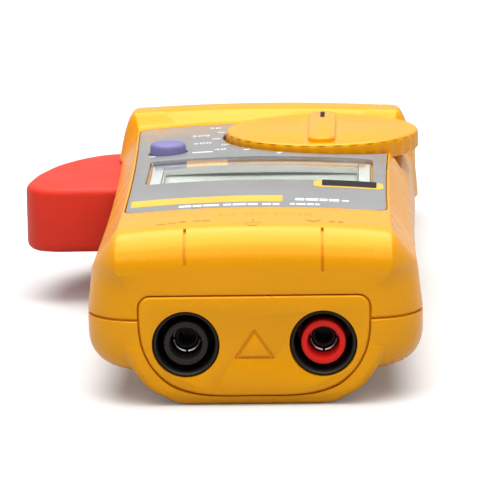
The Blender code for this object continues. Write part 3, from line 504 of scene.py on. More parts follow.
def frontOuter():
    foot = case["parting"] + case["gap"] / 2
    rings = [shellRing(foot, 0.25, 0.25, 0), shellRing(foot + 0.25, 0, 0, 0)]
    rings += [shellRing(15.6 + 1.3 * i, 0, 0.15 * i, 0) for i in range(1, 7)]
    for i in range(13):
        angle = radians(7.5 * i)
        rings.append(shellRing(*shoulderRow(angle), angle))
    for d in (0.8, 1.8, 3.0, 4.4, 6.0, 7.6, 9.2, 10.8, 12.2, 14.2, 16.2, 18.2, 20.4):
        rings.append(shellRing(case["top"], case["shoulder"] + d, case["slope"] + d, pi / 2, d))
    return lofted("frontShell", rings)


def cavityRing(z, endInset, sideInset, corner):
    wall = case["wall"]
    outline = plan(endInset + wall, case["length"] - wall, sideInset + wall, max(corner - wall, 0.8),
                   3.0)
    return [spot(x, y, z - crownDrop(x, z)) for x, y in outline]


def frontCavity():
    rings = [cavityRing(case["parting"] - 2, 0, 0, 9.5), cavityRing(19, 0, 0.5, 8.5)]
    for i in range(7):
        z, endInset, sideInset = shoulderRow(radians(15 * i))
        rings.append(cavityRing(z - case["wall"], endInset, sideInset, 7.5 - 0.8 * i))
    return lofted("frontCavity", rings)


panel = {"half": 19.85, "low": 1.95, "high": 19.3, "corner": 1.9, "proud": 0.2, "thick": 2.4}


def panelOutline(grow):
    half, low, high = panel["half"] + grow, panel["low"] - grow, panel["high"] + grow
    corner = panel["corner"] + grow
    knots = [(half, high - corner - 0.01), (half - 0.03, 15.4), (half - 0.2, 12.5),
             (half - 0.9, 9.5), (half - 2.6, 6.4), (half - 5.6, low + 1.9), (half - 9.5, low + 0.5),
             (half - 14, low), (half - 19.85, low)]
    right = arcPoints((half - corner, high - corner), corner, 90, 0, 5)
    right += curvedThrough(knots, 3)[1:-1]
    return right + [(0, low)] + [(-x, z) for x, z in reversed(right)]


def curvedThrough(knots, steps):
    found = []
    for i in range(len(knots) - 1):
        p0, p1, p2, p3 = (Vector(knots[min(max(k, 0), len(knots) - 1)]) for k in range(i - 1, i + 3))
        for k in range(steps):
            t = k / steps
            found.append(0.5 * (2 * p1 + (p2 - p0) * t + (2 * p0 - 5 * p1 + 4 * p2 - p3) * t * t
                                + (3 * p1 - p0 - 3 * p2 + p3) * t ** 3))
    return found + [Vector(knots[-1])]


dial = {"x": 11.2, "y": 96.0, "radius": 18.5, "floor": 28.5, "top": 32.4, "gap": 0.6,
        "gripHalf": 2.6, "gripRise": 0.9}
button = {"x": -17.9, "y": 82.4, "radius": 3.4, "top": 32.3}
display = {"near": 49.0, "far": 73.5, "half": 20.6}
facePlate = {"near": 21.5, "far": 111.4, "margin": 0.6, "thick": 0.8, "corner": 2.4}
trigger = {"low": 10.2, "high": 22.8, "near": 87.0, "slot": 6.0, "slotLow": 9.9, "slotHigh": 23.1,
           "pivotX": -19.0, "pivotY": 117.0}
mouth = {"right": 27.6, "near": 113, "low": 7.9, "high": 20.5}
beyond = {"left": -34, "far": 127}      # outside the case, where cuts end
dialAt = (dial["x"], dial["y"], 0)
buttonAt = (button["x"], button["y"], 0)
pivotAt = (trigger["pivotX"], trigger["pivotY"], 0)


def faceOutline(grow):
    return plan(facePlate["near"] - grow, facePlate["far"] + grow,
                case["slope"] + (facePlate["margin"] - grow), facePlate["corner"], facePlate["corner"])


def faceCorner(name, grow):      # the plate stops short of the corner beyond the dial
    return block(name, (dial["x"] + grow, 32), (dial["y"] + grow, 126), (27, 36))


def displayOutline(grow, corner):
    return roundBox((-display["half"] - grow, display["near"] - grow),
                    (display["half"] + grow, display["far"] + grow), corner)


def faceCuts(name, dialFloor, windowGrow, corner):      # the dial, the display and the button
    return (cylinder(name + "Dial", dial["radius"] + dial["gap"], dialAt, dialFloor, 40, sides=96),
            prism(name + "Window", displayOutline(windowGrow, corner), 26, 36),
            cylinder(name + "Button", button["radius"] + 0.3, buttonAt, 26, 36))


def caseCuts():      # what both halves of the case leave open
    slotNear = trigger["near"] - trigger["slot"]
    return (upright("panelCut", panelOutline(0.3), -2, 4),
            block("triggerSlot", (beyond["left"], trigger["pivotX"] + 4.5), (slotNear, beyond["far"]),
                  (trigger["slotLow"], trigger["slotHigh"])),
            block("jawMouth", (beyond["left"], mouth["right"]), (mouth["near"], beyond["far"]),
                  (mouth["low"], mouth["high"])))


def crownedPrism(name, outline, low, high):
    item = prism(name, outline, low, high)
    editing(item)
    for i in range(1, 16):
        bpy.ops.mesh.select_all(action='SELECT')
        bpy.ops.mesh.bisect(plane_co=((-24 + 3 * i) * mm, 0, 0), plane_no=(1, 0, 0))
    work = bmesh.from_edit_mesh(item.data)
    for vertex in work.verts:
        vertex.co.z -= crownDrop(vertex.co.x / mm, vertex.co.z / mm) * mm
    bmesh.update_edit_mesh(item.data)
    return doneEditing(item)


def makeFrontShell():
    shell = frontOuter()
    recess = crownedPrism("recess", faceOutline(0.3), case["top"] - facePlate["thick"] - 0.3,
                          case["top"] + 6)
    cutBy(recess, faceCorner("recessCorner", 0.3))
    cutBy(shell, recess, *faceCuts("shell", dial["floor"], -0.2, 1.0),
          block("thumbNotch", (24.0, 34), (dial["y"] - 11, dial["y"] + 11), (26.1, 40)),
          frontCavity(), *caseCuts())
    tidied(shell)
    rounded(shell, case["edge"], 2, 40)
    return asCase(shell, "front_case")


frontShell = makeFrontShell()
print("front case made")


def rearRing(z, endInset, sideInset, corner, wall=0.0):
    outline = plan(endInset + wall, case["length"] - endInset - wall, sideInset + wall,
                   max(corner - wall, 1), 5.0)
    return [spot(x, y, z + wall) for x, y in outline]


def rearSides(name, wall=0.0):
    rings = []
    for i in range(11):
        angle = radians(9 * i)
        inset = 5.5 * (1 - sin(angle))
        z = case["skirt"] + 6.5 * (1 - cos(angle))
        rings.append(rearRing(z, 3.2 * (inset / 5.5) ** 1.3, inset, 10, wall))
    if wall:
        rings.append(rearRing(case["parting"] + 2 - wall, 0, 0, 9.5, wall))
    else:      # a tongue stands in the parting line
        top = case["parting"] - case["gap"] / 2
        for rise, inset in ((-0.2, 0), (0, 0.2), (0, 0.6), (0.24, 0.6)):
            rings.append(rearRing(top + rise, inset, inset, 9.5 - inset))
    return lofted(name, rings)


def humpBody(name, wall=0.0):
    knots = [(0.0, 1.6, 9.0, 12.5), (0.5, 0.9, 8.4, 14.3), (1.5, 0.4, 7.4, 15.9),
             (2.8, 0.1, 6.0, 18.2), (5.0, 0.0, 4.0, 20.2), (8.0, 0.0, 2.4, 22.0),
             (10.5, 0.0, 1.2, 22.7)]
    rings = []
    for z, near, far, half in curvedThrough(knots, 3):
        corner, farCorner = 1.6, 3.2
        outline = arcPoints((half - wall - corner, near + wall + corner), corner, -90, 0, 6)
        end = case["length"] - far - wall
        outline += [(half - wall, near + 6 + (end - near - 12) * k / 6) for k in range(7)]
        outline += arcPoints((half - wall - farCorner, end - farCorner), farCorner, 0, 90, 6)
        outline += [(-x, y) for x, y in reversed(outline)]
        rings.append([spot(x, y, z + wall) for x, y in outline])
    return lofted(name, rings)


postSpots = [(-23.1, 15.0), (23.1, 15.0), (-23.1, 73.0), (23.1, 101.0)]
doorNear = boxOf("battery_door")[0][1]
doorHalf, doorFar, doorTop = boxOf("battery_door")[1]


def makeRearShell():
    shell = joinedTo(rearSides("rearShell"), humpBody("hump"))
    opening = roundBox((-doorHalf - 0.3, doorNear - 0.3), (doorHalf + 0.3, doorFar + 0.3), 1.2)
    cutBy(shell, rearSides("rearCavity", case["wall"]), humpBody("humpCavity", case["wall"]),
          prism("doorOpening", opening, -2, 3.6), *caseCuts(),
          *(cylinder(f"screwWell{i}", 3.1, (x, y, 0), -2, 9.7) for i, (x, y) in enumerate(postSpots)))
    tidied(shell)
    rounded(shell, case["edge"], 2, 40)
    for i, (x, y) in enumerate(postSpots):
        joinedTo(shell, turned(f"post{i}", [(2.7, 6.6), (3.5, 6.6), (3.5, 9.7), (2.9, 10.7),
                                            (2.9, 15.05), (1.7, 15.05), (1.7, 8.7), (2.7, 8.7)],
                               (x, y, 0), sides=40))
    return asCase(shell, "rear_case")


makeRearShell()
print("rear case made")

# Jack panel and jacks

jack = {"cup": 5.7, "cupWall": 0.65, "depth": 17.0, "sleeve": 3.85, "bore": 2.75, "setBack": 0.9,
        "pin": 2.45, "pinBore": 2.0, "pinNear": 5.6, "slit": 0.42, "slitDepth": 6.0}
jackMiddles = [[(a + b) / 2 for a, b in zip(*boxOf(node))]
               for node in ("jack_cup_common", "jack_cup_volts")]
jackXs, jackZ = [middle[0] for middle in jackMiddles], jackMiddles[0][2]


def bar(name, start, end, width, near, far):      # with round ends
    lean = atan2(end[1] - start[1], end[0] - start[0]) * 180 / pi
    outline = arcPoints(end, width / 2, lean - 90, lean + 90, 6)
    outline += arcPoints(start, width / 2, lean + 90, lean + 270, 6)
    return upright(name, outline, near, far)


def makeJackPanel():
    item = upright("jackPanel", panelOutline(0), -panel["proud"], panel["thick"] - panel["proud"])
    rounded(item, 0.38, 3, 50)
    joinedTo(item, upright("panelLip", panelOutline(0.24), 0.75,
                           panel["thick"] - panel["proud"] - 0.2))
    for i, x in enumerate(jackXs):
        cutBy(item, cylinder(f"jackHole{i}", jack["cup"] + 0.15, (x, 0, jackZ), -3, 4, 'Y', 96))
    mid = sum(jackXs) / 2
    corners = [(mid, 13.25), (mid + 3.2, 8.6), (mid - 3.2, 8.6)]
    for i in range(3):
        cutBy(item, bar(f"mark{i}", corners[i], corners[(i + 1) % 3], 0.55, -2, 0.25))
    rounded(item, 0.1, 2, 60)
    return asCase(item, "jack_panel")


makeJackPanel()


def jackPieces():      # the left jack, piece by piece
    centre, x = (jackXs[0], 0, jackZ), jackXs[0]
    outer, depth = jack["cup"], jack["depth"]
    inner = outer - jack["cupWall"]
    floor = depth - 1.5
    cup = turned("jackCup_common",
                 [(inner, 1.0), (inner + 0.1, 0.65), (inner + 0.3, 0.5), (outer - 0.2, 0.5),
                  (outer, 0.65), (outer, 2.5), (outer + 1.3, 2.5), (outer + 1.3, 3.9), (outer, 3.9),
                  (outer, depth), (2.75, depth), (2.75, floor), (inner, floor)], centre, 'Y', 96)
    lip, bore, near = jack["sleeve"], jack["bore"], jack["setBack"]
    sleeve = turned("jackSleeve_common",
                    [(bore, near + 0.3), (bore + 0.12, near + 0.08), (bore + 0.3, near),
                     (lip - 0.3, near), (lip - 0.08, near + 0.1), (lip, near + 0.35),
                     (lip, floor - 1.8), (inner - 0.3, floor - 1.8), (inner - 0.3, floor - 0.3),
                     (bore, floor - 0.3)], centre, 'Y', 96)
    pin, pinBore, start, end = jack["pin"], jack["pinBore"], jack["pinNear"], depth + 1.5
    contact = turned("jackContact_common",
                     [(pinBore + 0.05, start + 0.5), (pinBore + 0.15, start + 0.1), (pin - 0.1, start),
                      (pin, start + 0.2), (pin, end), (0, end), (0, 14.5), (pinBore, 14.5)],
                     centre, 'Y', 72)
    thin, ys = jack["slit"] / 2, (start - 1, start + jack["slitDepth"])
    for wide, tall in ((thin, 4), (4, thin)):
        cutBy(contact, block("slit", (x - wide, x + wide), ys, (jackZ - tall, jackZ + tall)))
    # a dark tube and end disc inside the contact: painted shade deep in the socket
    liner = turned("jackLiner_common",
                   [(1.55, start + 0.9), (1.75, start + 0.7), (1.95, start + 0.9), (1.95, 14.4),
                    (0, 14.4), (0, 13.6), (1.55, 13.6)], centre, 'Y', 60)
    return {"cup": cup, "sleeve": sleeve, "contact": contact, "liner": liner}


def makeJacks():
    made = jackPieces()
    ways = {"cup": ("jack_black", "black"), "sleeve": ("jack_black", "black"),
            "contact": ("contact_metal", "nickel"), "liner": ("jack_black", "core")}
    for kind, item in made.items():
        twin = copied(smoothed(item), item.name.replace("common", "volts"),
                      (jackXs[1] - jackXs[0], 0, 0))
        for node, piece in (("common", item), ("volts", twin)):
            slotName, look = ways[kind]
            if kind == "sleeve" and node == "volts":
                slotName, look = "jack_red", "jackRed"
            stands = () if kind == "liner" else (f"jack_{kind}_{node}",)
            finished(piece, "case", slotName, looks[look], *stands)


makeJacks()
print("jacks made")

# Face plate, printing and display


def makeFacePlate():
    plate = crownedPrism("facePlate", faceOutline(0), case["top"] - facePlate["thick"], case["top"])
    cutBy(plate, faceCorner("plateCorner", 0.0), *faceCuts("plate", 26, 0.2, 1.5))
    tidied(plate, 0.01)
    rounded(plate, 0.14, 2, 45)
    return finished(smoothed(plate), "case", "face_plastic", looks["face"], "face_plate")


makeFacePlate()


def shoulderAt(x, y):      # height of the case's top and near shoulder
    if y < case["shoulder"]:
        rise = case["shoulder"] ** 2 - (case["shoulder"] - y) ** 2
        z = case["top"] - case["shoulder"] + max(rise, 0) ** 0.5
        return z - crownDrop(x, z)
    return topAt(x)


def inked(name, outlines, look, rise=0.035, sink=0.12):
    made = [lofted(name, [[spot(x, y, shoulderAt(x, y) + lift) for x, y in outline]
                          for lift in (-sink, rise)]) for outline in outlines]
    return finished(smoothed(merged(made, name), 40), "case", None, look)


def strip(low, high, step=1.5):
    (x0, y0), (x1, y1) = low, high
    count = max(int((x1 - x0) / step), 1)
    xs = [x0 + (x1 - x0) * i / count for i in range(count + 1)]
    return [(x, y0) for x in xs] + [(x, y1) for x in reversed(xs)]


prints = {      # two corners, finish, rise and corner radius
    "faceBand": ((-22.3, 26.4), (4.6, 32.4), "printYellow", 0.035, 0.25),
    "badgeBorder": ((10.0, 42.0), (22.6, 48.4), "printYellow", 0.035, 1.4),
    # the black badge is painted shade: a flat black patch where a wall's shade falls by the display
    "shadeBadge": ((11.5, 43.1), (21.4, 49.0), "inkBlackAndShade", 0.07, 0.4),
}


def crownedStrip(name):
    low, high, look, rise, corner = prints[name]
    item = crownedPrism(name, roundBox(low, high, corner, 4), case["top"] - 0.1, case["top"] + rise)
    return finished(smoothed(item, 40), "case", None, looks[look])


crownedStrip("faceBand")


def dashRow(y, start, words, height):      # a width below nought is a gap
    shapes, x = [], start
    for width in words:
        if width > 0:
            shapes.append(strip((x, y), (x + width, y + height)))
            x += width + 0.25
        else:
            x -= width
    return shapes


whiteMarks = dashRow(23.0, -13.6, (2.2, 1.6, 2.8, -0.5, 1.4, 2.4, 1.8, -0.5, 1.6, 1.2), 1.7)
whiteMarks += dashRow(27.6, 6.9, (1.6, 2.2, 1.4, 1.8), 2.2)
whiteMarks += dashRow(23.4, 6.0, (0.9, 1.6, 1.2, 0.8), 1.4)
whiteMarks += [strip((15.2, 28.0), (16.4, 29.2))]
whiteMarks += [strip((-21.4, 78.6), (-20.2, 79.2)), strip((-13.2, 79.6), (-9.4, 80.6))]
inked("faceMarks", whiteMarks, looks["printWhite"])

crownedStrip("badgeBorder")
crownedStrip("shadeBadge")

ticks = {"first": 100, "step": 21, "from": 19.6, "to": 21.2, "half": 0.28, "numbers": 23.6}


def ringTicks():
    shapes = []
    for i in range(9):
        a = radians(ticks["first"] + ticks["step"] * i)
        ox, oy = -sin(a) * ticks["half"], cos(a) * ticks["half"]
        inner, outer = ((dial["x"] + r * cos(a), dial["y"] + r * sin(a))
                        for r in (ticks["from"], ticks["to"]))
        shapes.append([(inner[0] - ox, inner[1] - oy), (outer[0] - ox, outer[1] - oy),
                       (outer[0] + ox, outer[1] + oy), (inner[0] + ox, inner[1] + oy)])
    return [s for s in shapes if all(-21.5 < x < 22.5 and 75 < y < 112 for x, y in s)]


inked("dialTicks", ringTicks(), looks["printWhite"])


def numberAt(text, x, y, size):
    bpy.ops.object.text_add(location=(0, 0, 0))
    item = bpy.context.object
    item.data.body = text
    item.data.size = size * mm
    item.data.align_x = item.data.align_y = 'CENTER'
    item.data.extrude = 0.02 * mm
    item.data.resolution_u = 3
    bpy.ops.object.convert(target='MESH')
    item.location = spot(x, y, 0)
    settle(item)
    for vertex in item.data.vertices:
        vertex.co.z += (topAt(vertex.co.x / mm) + 0.02) * mm
    return item


def makeNumbers():
    made = []
    for i, text in enumerate(("0", "2", "20", "200", "600", "40", "400")):
        a = radians(ticks["first"] + ticks["step"] * (i + 0.5))
        x, y = dial["x"] + ticks["numbers"] * cos(a), dial["y"] + ticks["numbers"] * sin(a)
        if -20.5 < x < 22 and 76.5 < y < 111:
            made.append(numberAt(text, x, y, 2.4))
    item = tidied(merged(made, "dialNumbers"), 0.002)
    return finished(item, "case", None, looks["printWhite"])


makeNumbers()


def makeDisplay():
    window = crownedPrism("displayWindow", displayOutline(0, 1.3), case["top"] - facePlate["thick"],
                          case["top"] - 0.06)
    rounded(window, 0.1, 2, 50)
    finished(smoothed(window), "case", "display_glass", looks["clear"], "display_window")
    (x0, y0, z0), (x1, y1, z1) = boxOf("display_panel")
    glass = prism("displayPanel", roundBox((x0, y0), (x1, y1), 0.5, 3), z0, z1)
    rounded(glass, 0.12, 2, 50)
    finished(smoothed(glass), "case", "display_glass", looks["lcd"], "display_panel")
    ledge = case["top"] - facePlate["thick"] - 0.08
    outer = crownedPrism("displayFrame", roundBox((-20.3, 49.3), (20.3, 73.2), 0.9), z1 + 0.6, ledge)
    cutBy(outer, prism("frameHole", roundBox((-17.9, 51.4), (17.9, 71.2), 0.8), z1 - 1, 31))
    rounded(outer, 0.25, 3, 50)
    finished(smoothed(outer), "case", "display_glass", looks["frame"])


makeDisplay()
print("face and display made")

# Dial, button, trigger


def dialBar(half, near, far, corner, steps=4):
    return roundBox((dial["x"] - half, dial["y"] + near), (dial["x"] + half, dial["y"] + far), corner,
                    steps)


def makeDial():
    r, top = dial["radius"], dial["top"]
    profile = [(0, 25.2), (2.4, 25.2), (2.4, 26.5), (5.0, 26.5), (5.0, 28.8), (r - 0.4, 28.8),
               (r, 29.2), (r, top - 0.9)]
    profile += [(r - 0.9 + 0.9 * cos(radians(a)), top - 0.9 + 0.9 * sin(radians(a)))
                for a in (15, 30, 45, 60, 75, 90)]
    profile += [(r - 2.6, top), (r - 2.9, top - 0.12), (r - 3.2, top - 0.12), (r - 3.5, top),
                (0, top)]
    knob = turned("dialKnob", profile, dialAt, 'Z', 180)
    for vertex in knob.data.vertices:
        dx = vertex.co.x / mm - dial["x"]
        dy = (vertex.co.y - nearEnd) / mm - dial["y"]
        z = vertex.co.z / mm
        if hypot(dx, dy) > r - 0.45 and 28.9 < z < top - 0.3:
            shrink = 1 - 0.016 * (0.5 + 0.5 * cos(36 * atan2(dy, dx)))
            vertex.co.x = (dial["x"] + dx * shrink) * mm
            vertex.co.y = nearEnd + (dial["y"] + dy * shrink) * mm
    half, reach, rise = dial["gripHalf"], r - 2.5, dial["gripRise"]
    grip = prism("dialGrip", dialBar(half, -reach, reach, half - 0.05, 8), top - 1.0, top + rise)
    rounded(grip, 0.45, 3, 60)
    joinedTo(knob, grip)
    cutBy(knob, prism("pointerCut", dialBar(0.45, 8, reach - 1.2, 0.4), top + rise - 0.2, top + 3))
    asCase(knob, "dial_knob", "dial")
    ink = prism("dialPointer", dialBar(0.4, 8.05, reach - 1.25, 0.35), top + rise - 0.22,
                top + rise - 0.03)
    finished(smoothed(ink), "dial", None, looks["inkBlackAndShade"])


makeDial()


def makeButton():
    r, top, low = button["radius"], button["top"], boxOf("hold_button")[0][2]
    item = turned("holdButton", [(0, low), (r + 1, low), (r + 1, low + 0.7), (r, low + 0.7),
                                 (r, top - 0.8), (r - 0.12, top - 0.45), (r - 0.35, top - 0.18),
                                 (r - 0.7, top - 0.05), (r - 1.2, top), (r - 1.6, top - 0.06),
                                 (r - 2.4, top - 0.14), (0, top - 0.18)], buttonAt, 'Z', 72)
    finished(smoothed(item), "button", "button_rubber", looks["button"], "hold_button")


makeButton()


def trimmedOutline(points, corner, steps=5):
    found = []
    for i, point in enumerate(points):
        here = Vector(point)
        before, after = Vector(points[i - 1]), Vector(points[(i + 1) % len(points)])
        reach = min(corner, (before - here).length * 0.45, (after - here).length * 0.45)
        start = here + (before - here).normalized() * reach
        end = here + (after - here).normalized() * reach
        for k in range(steps + 1):
            t = k / steps
            found.append(tuple(start * (1 - t) ** 2 + here * 2 * t * (1 - t) + end * t * t))
    return found


def makeTrigger():
    outline = [(-25.5, 87.6), (-26.2, 113.0), (-25.8, 122.0), (-28.5, 127.5), (-33.0, 126.0),
               (-37.4, 121.5), (-41.8, 114.0), (-44.8, 104.0), (-46.0, 95.0), (-45.6, 91.2),
               (-43.8, 88.3), (-40.0, 87.0)]
    smooth = trimmedOutline(list(reversed(outline)), 3.0)
    low, high = trigger["low"], trigger["high"]
    body = prism("trigger", smooth, low, high)
    tidied(body, 0.05)
    rounded(body, 1.5, 5, 60)
    cutBy(body, *(prism(f"ribCut{i}", roundBox((-47.5, 94.5 + 3.0 * i),
                                               (-43.9 - 0.02 * i * i, 95.6 + 3.0 * i), 0.5, 4),
                        low + 2.6, high - 2.6) for i in range(5)))
    key = block("triggerKey", (-32.0, trigger["pivotX"] - 2.8),
                (trigger["pivotY"] - 3, trigger["pivotY"] + 3), (20.5, high - 0.6))
    joinedTo(body, key, cylinder("triggerRing", 5.2, pivotAt, 20.5, high - 0.6))
    cutBy(body, cylinder("springRoom", 4.15, pivotAt, 20, 25),
          cylinder("lugRoom", 5.9, pivotAt, 8, 20.35))
    tidied(body, 0.01)
    return finished(smoothed(body), "jaw", "trigger_plastic", looks["red"], "trigger")


makeTrigger()
print("dial, button and trigger made")

# Jaws

jaws = {"low": 8.2, "high": 20.2, "outer": 30.0, "inner": 17.0, "y": 172.0, "gap": 0.15,
        "wall": 1.4, "edge": 1.7, "innerEdge": 1.0}


def halfRing(side, outer, inner, gap):
    top = 90 + atan2(gap, outer) * 180 / pi
    innerTop = 90 + atan2(gap, inner) * 180 / pi
    points = arcPoints((0, jaws["y"]), outer, top, 360 - top, 56)
    points += arcPoints((0, jaws["y"]), inner, 360 - innerTop, innerTop, 44)
    return points if side < 0 else [(-x, y) for x, y in reversed(points)]


def armOutline(side):
    root, shoulder, ringSide = 142.0, 163.0, 28.6
    if side < 0:
        outline = [(-6.0, root + 6.5), (-24.0, shoulder), (-ringSide, shoulder), (-28.2, root - 6.0),
                   (-26.6, 129.0)]
        outline += arcPoints(pivotAt, 5.6, 170, 350, 20)
        return outline + [(-8.0, root - 8.0), (-3.0, root + 1.0)]
    return [(1.5, 110.0), (23.0, 110.0), (26.6, 129.0), (28.2, root - 6.0), (ringSide, shoulder),
            (24.0, shoulder), (6.0, root + 6.5), (1.5, root + 1.0)]


def edgeSteps(low, high, edge, upward):
    steps = [(edge * (1 - cos(radians(a))), edge * sin(radians(a))) for a in (0, 20, 40, 60, 75, 90)]
    if upward:
        return [(low, 0)] + [(high - edge + rise, inset) for inset, rise in steps]
    return [(low + edge - rise, inset) for inset, rise in reversed(steps)] + [(high, 0)]


def makeJawCover(name, side, low, high, upward, stands):
    rings = []
    for z, inset in edgeSteps(low, high, jaws["edge"], upward):
        inner = jaws["inner"] + inset * jaws["innerEdge"] / jaws["edge"]
        outline = halfRing(side, jaws["outer"] - inset, inner, jaws["gap"] + inset * 0.25)
        rings.append([spot(x, y, z) for x, y in outline])
    cover = lofted(name, rings)
    arm = prism(name + "Arm", armOutline(side), low, high)
    editing(arm)
    bpy.ops.mesh.select_all(action='DESELECT')
    bpy.ops.mesh.select_mode(type='EDGE')
    work = bmesh.from_edit_mesh(arm.data)
    level = (high if upward else low) * mm
    for edge in work.edges:
        edge.select = all(abs(v.co.z - level) < 1e-6 for v in edge.verts)
    work.select_flush(True)
    bmesh.update_edit_mesh(arm.data)
    bpy.ops.mesh.bevel(offset=jaws["edge"] * mm, segments=4, clamp_overlap=True)
    doneEditing(arm)
    joinedTo(cover, arm)
    wall = jaws["wall"]
    z0, z1 = (low - 2, high - wall) if upward else (low + wall, high + 2)
    hollow = prism(name + "Hollow", halfRing(side, jaws["outer"] - wall, jaws["inner"] + wall,
                                             wall), z0, z1)
    cutBy(cover, hollow)
    if side < 0:
        cutBy(cover, cylinder(name + "Bore", 2.3, pivotAt, low - 2, high + 2))
    if upward:      # alignment arrow on the front cover
        tip = side * 19.8
        arrow = [(side * 27.4, jaws["y"] - 2.1), (tip + side * 1.2, jaws["y"]),
                 (side * 27.4, jaws["y"] + 2.1)]
        cutBy(cover, prism(name + "Arrow", arrow if side < 0 else list(reversed(arrow)), high - 0.35,
                           high + 2))
    tidied(cover, 0.02)
    return asCase(cover, stands, "jaw" if side < 0 else "case")


def makeJaws():
    middle = (jaws["low"] + jaws["high"]) / 2
    for label, side in (("fixed", 1), ("moving", -1)):
        makeJawCover(label + "JawRearCover", side, jaws["low"], middle - 0.15, False,
                     f"{label}_jaw_rear_cover")
        makeJawCover(label + "JawFrontCover", side, middle + 0.15, jaws["high"], True,
                     f"{label}_jaw_front_cover")


makeJaws()
print("jaws made")

# Battery door and screws


def makeDoor():
    door = prism("batteryDoor", roundBox((-doorHalf, doorNear), (doorHalf, doorFar), 0.9), 0, doorTop)
    rounded(door, 0.25, 2, 50)
    for i in range(6):
        y = doorNear + 5 + 1.9 * i
        cutBy(door, prism(f"grip{i}", roundBox((-7, y), (7, y + 0.9), 0.42, 4), -1, 0.45))
    (_, near, _), (_, far, _) = boxOf("battery_door_screw")
    hole = (0, (near + far) / 2, 0)
    cutBy(door, cylinder("doorSink", 2.7, hole, -1, 0.9), cylinder("doorHole", 1.7, hole, -1, 3))
    return asCase(door, "battery_door")


makeDoor()


def screwAt(name, x, y, low, head, top):
    item = turned(name, [(0, low), (1.5, low + 0.02), (2.1, low + 0.15), (2.4, low + 0.42),
                         (2.4, low + head), (1.4, low + head), (1.4, top), (0, top)],
                  (x, y, 0), 'Z', 40)
    for wide, long in ((1.5, 0.28), (0.28, 1.5)):
        cutBy(item, block(name + "Slot", (x - wide, x + wide), (y - long, y + long),
                          (low - 1, low + 0.55 * head)))
    return smoothed(item)


def makeScrews():
    (_, _, low), (_, _, high) = boxOf("case_screw_1")
    (x0, y0), others = postSpots[0], postSpots[1:]
    made = [screwAt("caseScrew1", x0, y0, low, 1.6, high)]
    made += [copied(made[0], f"caseScrew{i + 2}", (x - x0, y - y0, 0))
             for i, (x, y) in enumerate(others)]
    for i, item in enumerate(made):
        finished(item, "case", "screw_steel", looks["steel"], f"case_screw_{i + 1}")
    (_, near, low), (_, far, high) = boxOf("battery_door_screw")
    finished(screwAt("doorScrew", 0, (near + far) / 2, low, 0.6, high), "case", "screw_steel",
             looks["steel"], "battery_door_screw")


makeScrews()
print("door and screws made")

# Engraved lines and printed marks by the jacks


def groove(name, x, reach, start):
    width, base, path = 0.5, case["top"] - case["shoulder"], [(0.0, start)]
    for i in range(15):
        a = radians(90 * i / 14)
        y, z = case["shoulder"] * (1 - cos(a)), base + case["shoulder"] * sin(a)
        if y < reach and z > start + 0.3:
            path.append((y, z))
    rings = []
    for y, z in path:
        a = 0 if z <= base else atan2(z - base, case["shoulder"] - y)
        rings.append([spot(x + side * width / 2, y - cos(a) * lift,
                           z - crownDrop(x, z) + sin(a) * lift)
                      for side, lift in ((-1, -0.6), (1, -0.6), (1, 0.6), (-1, 0.6))])
    return lofted(name, rings)


cutBy(frontShell, groove("grooveLeft", jackXs[0], 5.0, 24.9),
      groove("grooveRight", jackXs[1], 5.0, 23.6))
smoothed(frontShell)


def slab(x, y, wide, long):
    return strip((x, y), (x + wide, y + long), 0.8)


brownMarks = [slab(*place) for place in (
    (-16.9, 7.6, 1.6, 0.9), (-14.9, 8.2, 1.5, 0.9), (-13.0, 8.6, 1.2, 1.5), (-10.6, 8.8, 1.3, 1.2),
    (-9.0, 8.8, 1.4, 1.2), (13.0, 7.6, 1.0, 1.6), (14.5, 7.4, 1.0, 1.6))]
brownMarks.append([(8.9, 9.4), (10.0, 7.4), (10.7, 7.4), (11.8, 9.4), (11.1, 9.4), (10.35, 8.2),
                   (9.6, 9.4)])
brownMarks.append([(-1.75, 6.6), (-0.9, 4.9), (0.5, 4.9), (1.35, 6.6)])
brownMarks.append(slab(-0.35, 6.9, 0.3, 2.7))
inked("caseMarks", brownMarks, looks["printBrown"])
smallMarks = []
for x in (-6.3, -5.2, -4.1, -1.9, -0.8, 0.3, 1.4, 3.4, 4.4, 5.4, 6.4, 7.4, 8.6, 9.4):
    smallMarks += [slab(x, 13.6, 0.6, 0.9), slab(x + 0.1, 15.2, 0.6, 0.8)]
inked("smallMarks", smallMarks, looks["printOlive"])

# What stays as it was made, with its own finish

for look, names in {"board": ("circuit_board",), "sleeve": ("battery_left", "battery_right"),
                    "inner": ("buzzer", "battery_tray", "dial_rotor", "hold_switch"),
                    "nickel": ("battery_contact_near", "battery_contact_far"),
                    "rubber": ("display_strip_near", "display_strip_far"),
                    "steel": ("jaw_spring", "pivot_pin"),
                    "brass": ("jack_strap_common", "jack_strap_volts"),
                    "iron": ("fixed_jaw_core", "moving_jaw_core"),
                    "copper": ("fixed_jaw_coil", "moving_jaw_coil")}.items():
    for name in names:
        coated(nodes[name], looks[look])
print("inner pieces finished")

# The camera, lamps, floor and world

view = {"turn": 1.5, "height": 11.0, "roll": 0.9, "lens": 317.4, "far": 0.760,
        "right": 0.00095, "up": -0.0269}


def makeCamera():
    turn, height, roll = (radians(view[key]) for key in ("turn", "height", "roll"))
    back = Vector((sin(turn) * cos(height), -cos(turn) * cos(height), sin(height)))
    flat = Vector((cos(turn), sin(turn), 0))
    rise = back.cross(flat)
    right = flat * cos(roll) - rise * sin(roll)
    up = flat * sin(roll) + rise * cos(roll)
    place = spot(0, 0, 0) + back * view["far"] - right * view["right"] - up * view["up"]
    lens = bpy.data.cameras.new("camera")
    lens.lens = view["lens"]
    lens.sensor_width = 36
    lens.clip_start = 0.05
    camera = bpy.data.objects.new("camera", lens)
    bpy.context.scene.collection.objects.link(camera)
    turnTo = Matrix((right, up, back)).transposed().to_4x4()
    turnTo.translation = place
    camera.matrix_world = turnTo
    bpy.context.scene.camera = camera


